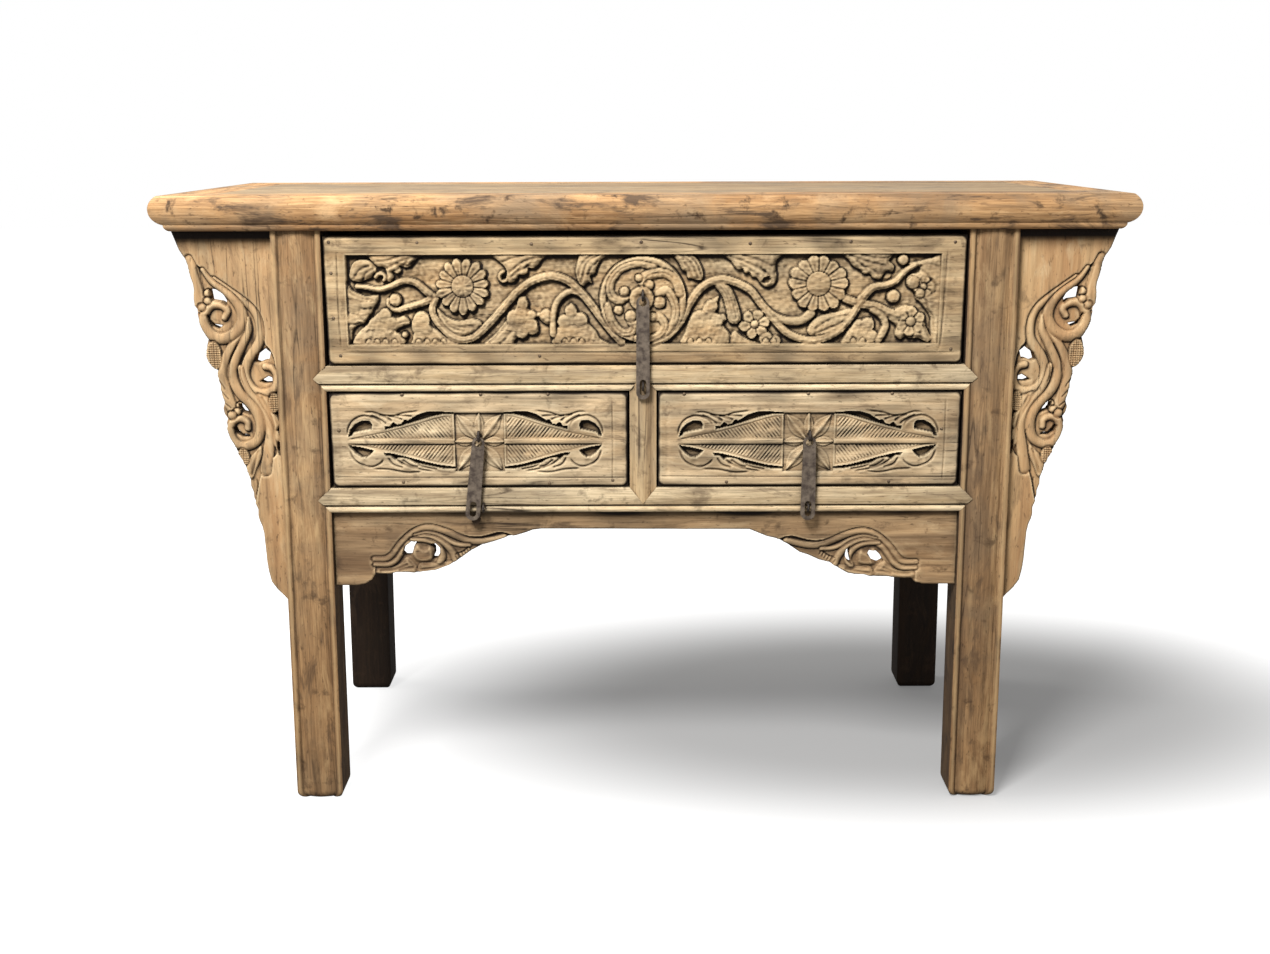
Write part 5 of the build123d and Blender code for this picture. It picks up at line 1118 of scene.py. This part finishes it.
# the painted shade is held lighter over the carved field, and most in the medallion
in_medallion = smooth((medal_radius - np.hypot(upper.x - medal_x, upper.z - medal_z)) / 6)
less_painted_shade = 0.12 * in_field + 0.14 * in_medallion
upper_front = carved_board("upper_drawer_carved_front", upper, low[1], high[1], front_elm_x,
                           darkening=rim_shade_and_grime(upper, rim_gap, 7) - less_painted_shade)
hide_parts("upper_drawer_front")
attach(upper_front, "upper_drawer")


# ------------------------------------------------------------------ lower drawer fronts
# Two short elm boards, each carved with a long pointed lozenge of two leaves that spread from the
# pull.  Their halves are cut with herring-bone veins, and deep slots part them from the border,
# where acanthus leaves roll up in both corners.
HERRING_PITCH = 5.2          # from one vein to the next
LOWER_CELL = 0.95            # steps of the carving's grid
SLOT_DEPTH = 9.5

# one half of the lozenge, as (share of the way from the middle block to the tip, mm over the rib)
upper_slot = [(0, 41.5), (0.15, 43), (0.25, 42.5), (0.33, 39), (0.40, 33), (0.43, 30.5), (0.46, 32),
              (0.49, 26), (0.53, 25), (0.565, 28.5), (0.60, 22.5), (0.645, 23), (0.645, 17.5),
              (0.5, 22.5), (0.35, 28.5), (0.2, 35), (0.1, 38.5), (0, 38.5)]
corner_eye = [(0.993, 8), (0.972, 18), (0.923, 26), (0.853, 31), (0.783, 30), (0.762, 25), (0.769, 18),
              (0.86, 15.5), (0.944, 13), (0.958, 9)]
half_moon = [(0.993, -3.5), (0.88, -6), (0.755, -10.5), (0.79, -17), (0.83, -21), (0.88, -20),
             (0.93, -15), (0.972, -8)]
lower_slot = [(0.67, -13.5), (0.58, -15), (0.44, -20), (0.30, -25.5), (0.16, -30.5), (0, -33.5),
              (-0.005, -37), (0.09, -37), (0.23, -33), (0.37, -29), (0.43, -23.5), (0.47, -22),
              (0.53, -21.5), (0.56, -24), (0.6, -19), (0.65, -18)]
leaf_edge = [(1.0, 2), (0.97, 8.5), (0.645, 17.5), (0.5, 22.5), (0.35, 28.5), (0.2, 35), (0.1, 38.5),
             (0, 39.5), (0, -34), (0.16, -30.5), (0.3, -25.5), (0.44, -20), (0.58, -15), (0.67, -13.5),
             (0.88, -6), (0.993, -3.5)]
acanthus_cuts = [[(1.0, 8), (0.99, 20), (0.94, 31), (0.85, 37), (0.76, 35), (0.69, 29), (0.67, 21)],
                 [(0.86, 41), (0.76, 42), (0.66, 38), (0.56, 37), (0.46, 41), (0.3, 44)],
                 [(0.78, 38), (0.70, 33), (0.62, 25)], [(0.70, 39), (0.62, 34), (0.57, 29)],
                 [(0.62, 37), (0.53, 34), (0.47, 31)], [(0.54, 37), (0.46, 37), (0.38, 36)],
                 [(0.99, -8), (0.95, -22), (0.88, -30), (0.78, -33), (0.70, -28), (0.66, -20)],
                 [(0.63, -20), (0.58, -30), (0.48, -35)], [(0.58, -20), (0.48, -30), (0.36, -36), (0.2, -40)],
                 [(0.50, -23), (0.42, -31), (0.34, -34)], [(0.78, -36), (0.62, -37), (0.46, -41), (0.3, -40)],
                 [(0.36, -30), (0.28, -34), (0.16, -37)]]


def leaf_half(board, root, tip, rib):
    """Cuts one half of the lozenge, from its middle block at root to its tip.  The leaf's face falls
    in a trough beside the midrib, and slanting veins are cubes of a cosine across them."""
    def placed(points):
        """This half's own places, as millimetres on the board."""
        return [(root + share * (tip - root), rib + up) for share, up in points]

    leaf = placed(leaf_edge)
    w, x, z = board.window(leaf, 3)
    inside = within(x, z, leaf)
    out = np.abs(x - root)
    up = np.abs(z - rib - 1.5)
    share = np.clip(out / abs(tip - root), 0, 1)
    trough = np.clip(1 - up / np.maximum(36 * (1 - share) + 4, 1), 0, 1)
    veins = np.abs(np.cos(pi * (out - 0.8 * up) / HERRING_PITCH)) ** 3
    cut = veins * (0.75 + 0.35 * waver(x, z, 16, 9))
    face = -0.7 - 2.2 * trough - 2.0 * cut * smooth((up - 3.5) / 2) * smooth((inside - 3.5) / 1.5)
    face = face - 1.2 * np.exp(-((inside - 3.2) / 0.9) ** 2)
    midrib = -0.3 - 1.3 * np.clip(up / 3.6, 0, 1) ** 2
    face = np.where(up < 3.6, np.maximum(face, midrib), face) - 1.3 * np.exp(-((z - rib + 3.2) / 0.9) ** 2)
    board.raise_to(w, inside, face, moat=0.3)
    for outline in (upper_slot, corner_eye, half_moon, lower_slot):
        board.sink(placed(outline), SLOT_DEPTH, 1.0)
    for cut in acanthus_cuts:
        board.groove(placed(cut), 1.4, 2.5)
    for share, up, radius in ((0.72, 22, 7.0), (0.845, -27, 7.0), (0.50, -29, 6.0), (0.60, 32, 5.0)):
        cx, cz = root + share * (tip - root), rib + up
        w, x, z = board.window(np.add((cx, cz), [[-9], [9]]), 2)
        board.h[w] -= 1.3 * smooth(1 - np.hypot(x - cx, z - cz) / radius) * (board.h[w] > -5)


def lower_front(label, roots, tips, rib):
    """A lower front with its lozenge: roots and tips are where the halves start and end, and rib is
    the height of their midrib.  Eight short petals lie over the plain block behind the pull."""
    node = f"lower_{label}_drawer_front"
    low, high = (np.array(corner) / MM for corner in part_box(node))
    board = Relief(low[0] + TAIL_SHOW, high[0] - TAIL_SHOW, low[2], high[2], LOWER_CELL)
    middle = sum(roots) / 2
    block = [(roots[0], rib - 40), (roots[1], rib - 40), (roots[1], rib + 40.5), (roots[0], rib + 40.5)]
    w, x, z = board.window(block, 3)
    board.raise_to(w, within(x, z, block), np.full(x.shape, -3.8), moat=0.6)
    for root, tip in zip(roots, tips):
        leaf_half(board, root, tip, rib)
    for angle in (52, 128, 232, 308):
        a = radians(angle)
        line = [(middle + r * cos(a), rib + r * sin(a)) for r in (6, 24, 47)]
        board.stem(line, 2.0, 1.0, -0.4, 2.8, flutes=1, flute_depth=1.6, belly=8.0)
    for angle, reach in ((0, 33), (180, 33), (90, 38), (270, 38)):
        a = radians(angle)
        line = [(middle + r * cos(a), rib + 1 + r * sin(a)) for r in (8, 20, reach)]
        board.stem(line, 2.0, 1.0, -0.2, 2.6, flutes=1, flute_depth=1.6, belly=4.6)
    board.groove([(low[0], 475), (middle, 474), (high[0], 473.5)], 0.9, 1.3, fade=0.02)
    board.groove([(low[0] + 12, 578), (middle, 577), (high[0] - 12, 576)], 2.2, 0.7, fade=0.1)
    board.groove([(high[0] - 22, 463), (high[0] - 21, 520), (high[0] - 22, 586)], 1.1, 1.1)
    board.groove([(low[0] + 12, 470), (low[0] + 13, 520), (low[0] + 12, 580)], 3.0, 0.8)
    gap = rim_distance(board)
    board.h -= 4.0 * np.clip(1 - gap / 5.0, 0, 1) ** 2
    board.h -= 0.35 + 0.3 * waver(board.x * 0.15, board.z, 13, 6 + (label == "left"))
    board.h = np.minimum(board.h, 0)
    piece = carved_board(f"lower_{label}_carved_front", board, low[1], high[1], short_front_elm_x,
                         darkening=rim_shade_and_grime(board, gap, 8 + (label == "left")))
    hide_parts(node)
    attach(piece, f"lower_{label}_drawer")


short_front_elm_x = elm("short_front_elm_along_x", 0, "#E6CDA6", "#CFB188", DARK, GREY, bright="#EFDBB5")
lower_front("left", (-257, -190), (-401, -57), 522.5)
lower_front("right", (186, 254), (44, 394), 521.5)


# ------------------------------------------------------------------ nails
# Small hand-made iron nails, hammered into the borders of the carved drawer fronts and long since
# rusted.
NAIL_SIDES = 12
NAIL_RADIUS = 2.3
NAIL_SEAT = 0.5              # how deep the heads are hammered in


def wrought_iron(name, dark, light):
    """Wrought iron, forged by hand and long since rusted brown: dull, pitted, a little worn bright.
    Patches of rust are 6 mm across.  The pits, 1.7 mm, are drawn coarser than real ones, which
    would be too fine to show."""
    material, tree = new_material(name)
    place = add(tree, "ShaderNodeTexCoord").outputs["Object"]
    rust = add(tree, "ShaderNodeTexNoise", {"Vector": place, "Scale": 160.0, "Detail": 5.0}).outputs["Fac"]
    pits = add(tree, "ShaderNodeTexNoise", {"Vector": place, "Scale": 600.0, "Detail": 3.0}).outputs["Fac"]
    colour = ramp(tree, rust, [(0.35, srgb(dark)), (0.65, srgb(light))])
    bump = add(tree, "ShaderNodeBump", {"Height": pits, "Strength": 0.5, "Distance": 0.0006})
    surface = add(tree, "ShaderNodeBsdfPrincipled", {"Base Color": colour, "Roughness": 0.6,
                                                     "Metallic": 0.35, "Normal": bump.outputs[0]})
    add(tree, "ShaderNodeOutputMaterial", {"Surface": surface.outputs[0]})
    return material


def nail_heads(name, body, face_y, places):
    """Low round heads on a face, in one mesh: three rings of points and a middle point for each
    head, and the lowest ring closed by a fan."""
    angle = 2 * pi * np.arange(NAIL_SIDES) / NAIL_SIDES
    rings = [(1.0, 0.6), (1.0, -0.3), (0.6, -0.9)]
    shape = np.concatenate([np.stack([share * NAIL_RADIUS * np.cos(angle), np.full(NAIL_SIDES, out),
                                      share * NAIL_RADIUS * np.sin(angle)], 1) for share, out in rings])
    shape = np.concatenate([shape, [[0, -1.1, 0], [0, 0.6, 0]]])
    step = np.arange(NAIL_SIDES)
    after = (step + 1) % NAIL_SIDES
    walls = np.concatenate([np.stack([k + step, k + after, k + NAIL_SIDES + after, k + NAIL_SIDES + step], 1)
                            for k in (0, NAIL_SIDES)])
    crown, root = 3 * NAIL_SIDES, 3 * NAIL_SIDES + 1
    top = 2 * NAIL_SIDES
    fans = np.concatenate([np.stack([top + step, top + after, np.full(NAIL_SIDES, crown)], 1),
                           np.stack([after, step, np.full(NAIL_SIDES, root)], 1)])
    spots = np.array([(x, face_y, z) for x, z in places], float)
    points = (shape[None] + spots[:, None]).reshape(-1, 3)
    shift = (len(shape) * np.arange(len(places)))[:, None, None]
    faces = [(f[None] + shift).reshape(-1, f.shape[1]) for f in (walls, fans)]
    piece = mesh_object(name, points * MM, faces, rusty_iron)
    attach(piece, body)


rusty_iron = wrought_iron("rusted_iron", "#4A3A2C", "#7D6A52")
for label, places in (("upper", [(-412, 790), (-411, 750), (-411, 691), (-297, 789), (-148, 787), (-5, 789),
                                 (137, 787), (268, 789), (-140, 640), (404, 788), (405, 648), (-404, 641)]),
                      ("lower_left", [(-325, 588), (-220, 588), (-130, 588), (-412, 540), (-328, 468),
                                      (-44, 470), (-130, 466)]),
                      ("lower_right", [(52, 588), (218, 588), (330, 588), (398, 540), (110, 467),
                                       (330, 467)])):
    board_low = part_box(f"{label}_drawer_front")[0].y / MM
    nail_heads(f"{label}_front_nails", f"{label}_drawer", board_low + NAIL_SEAT, places)


# ------------------------------------------------------------------ iron pulls
# Flat straps cut from sheet iron, each hanging on a ring eye and slipping over a staple in the
# rail below.  The straps are rubbed to a dull grey brown; eyes and staples have stayed black.
iron = wrought_iron("aged_wrought_iron", "#463B33", "#75685A")
black_iron = wrought_iron("blackened_iron", "#1E1814", "#3A312A")
finish_with(iron, *[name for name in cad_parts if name.endswith("strap")])
finish_with(black_iron, "lock_staples", *[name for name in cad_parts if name.endswith("ring_eye")])
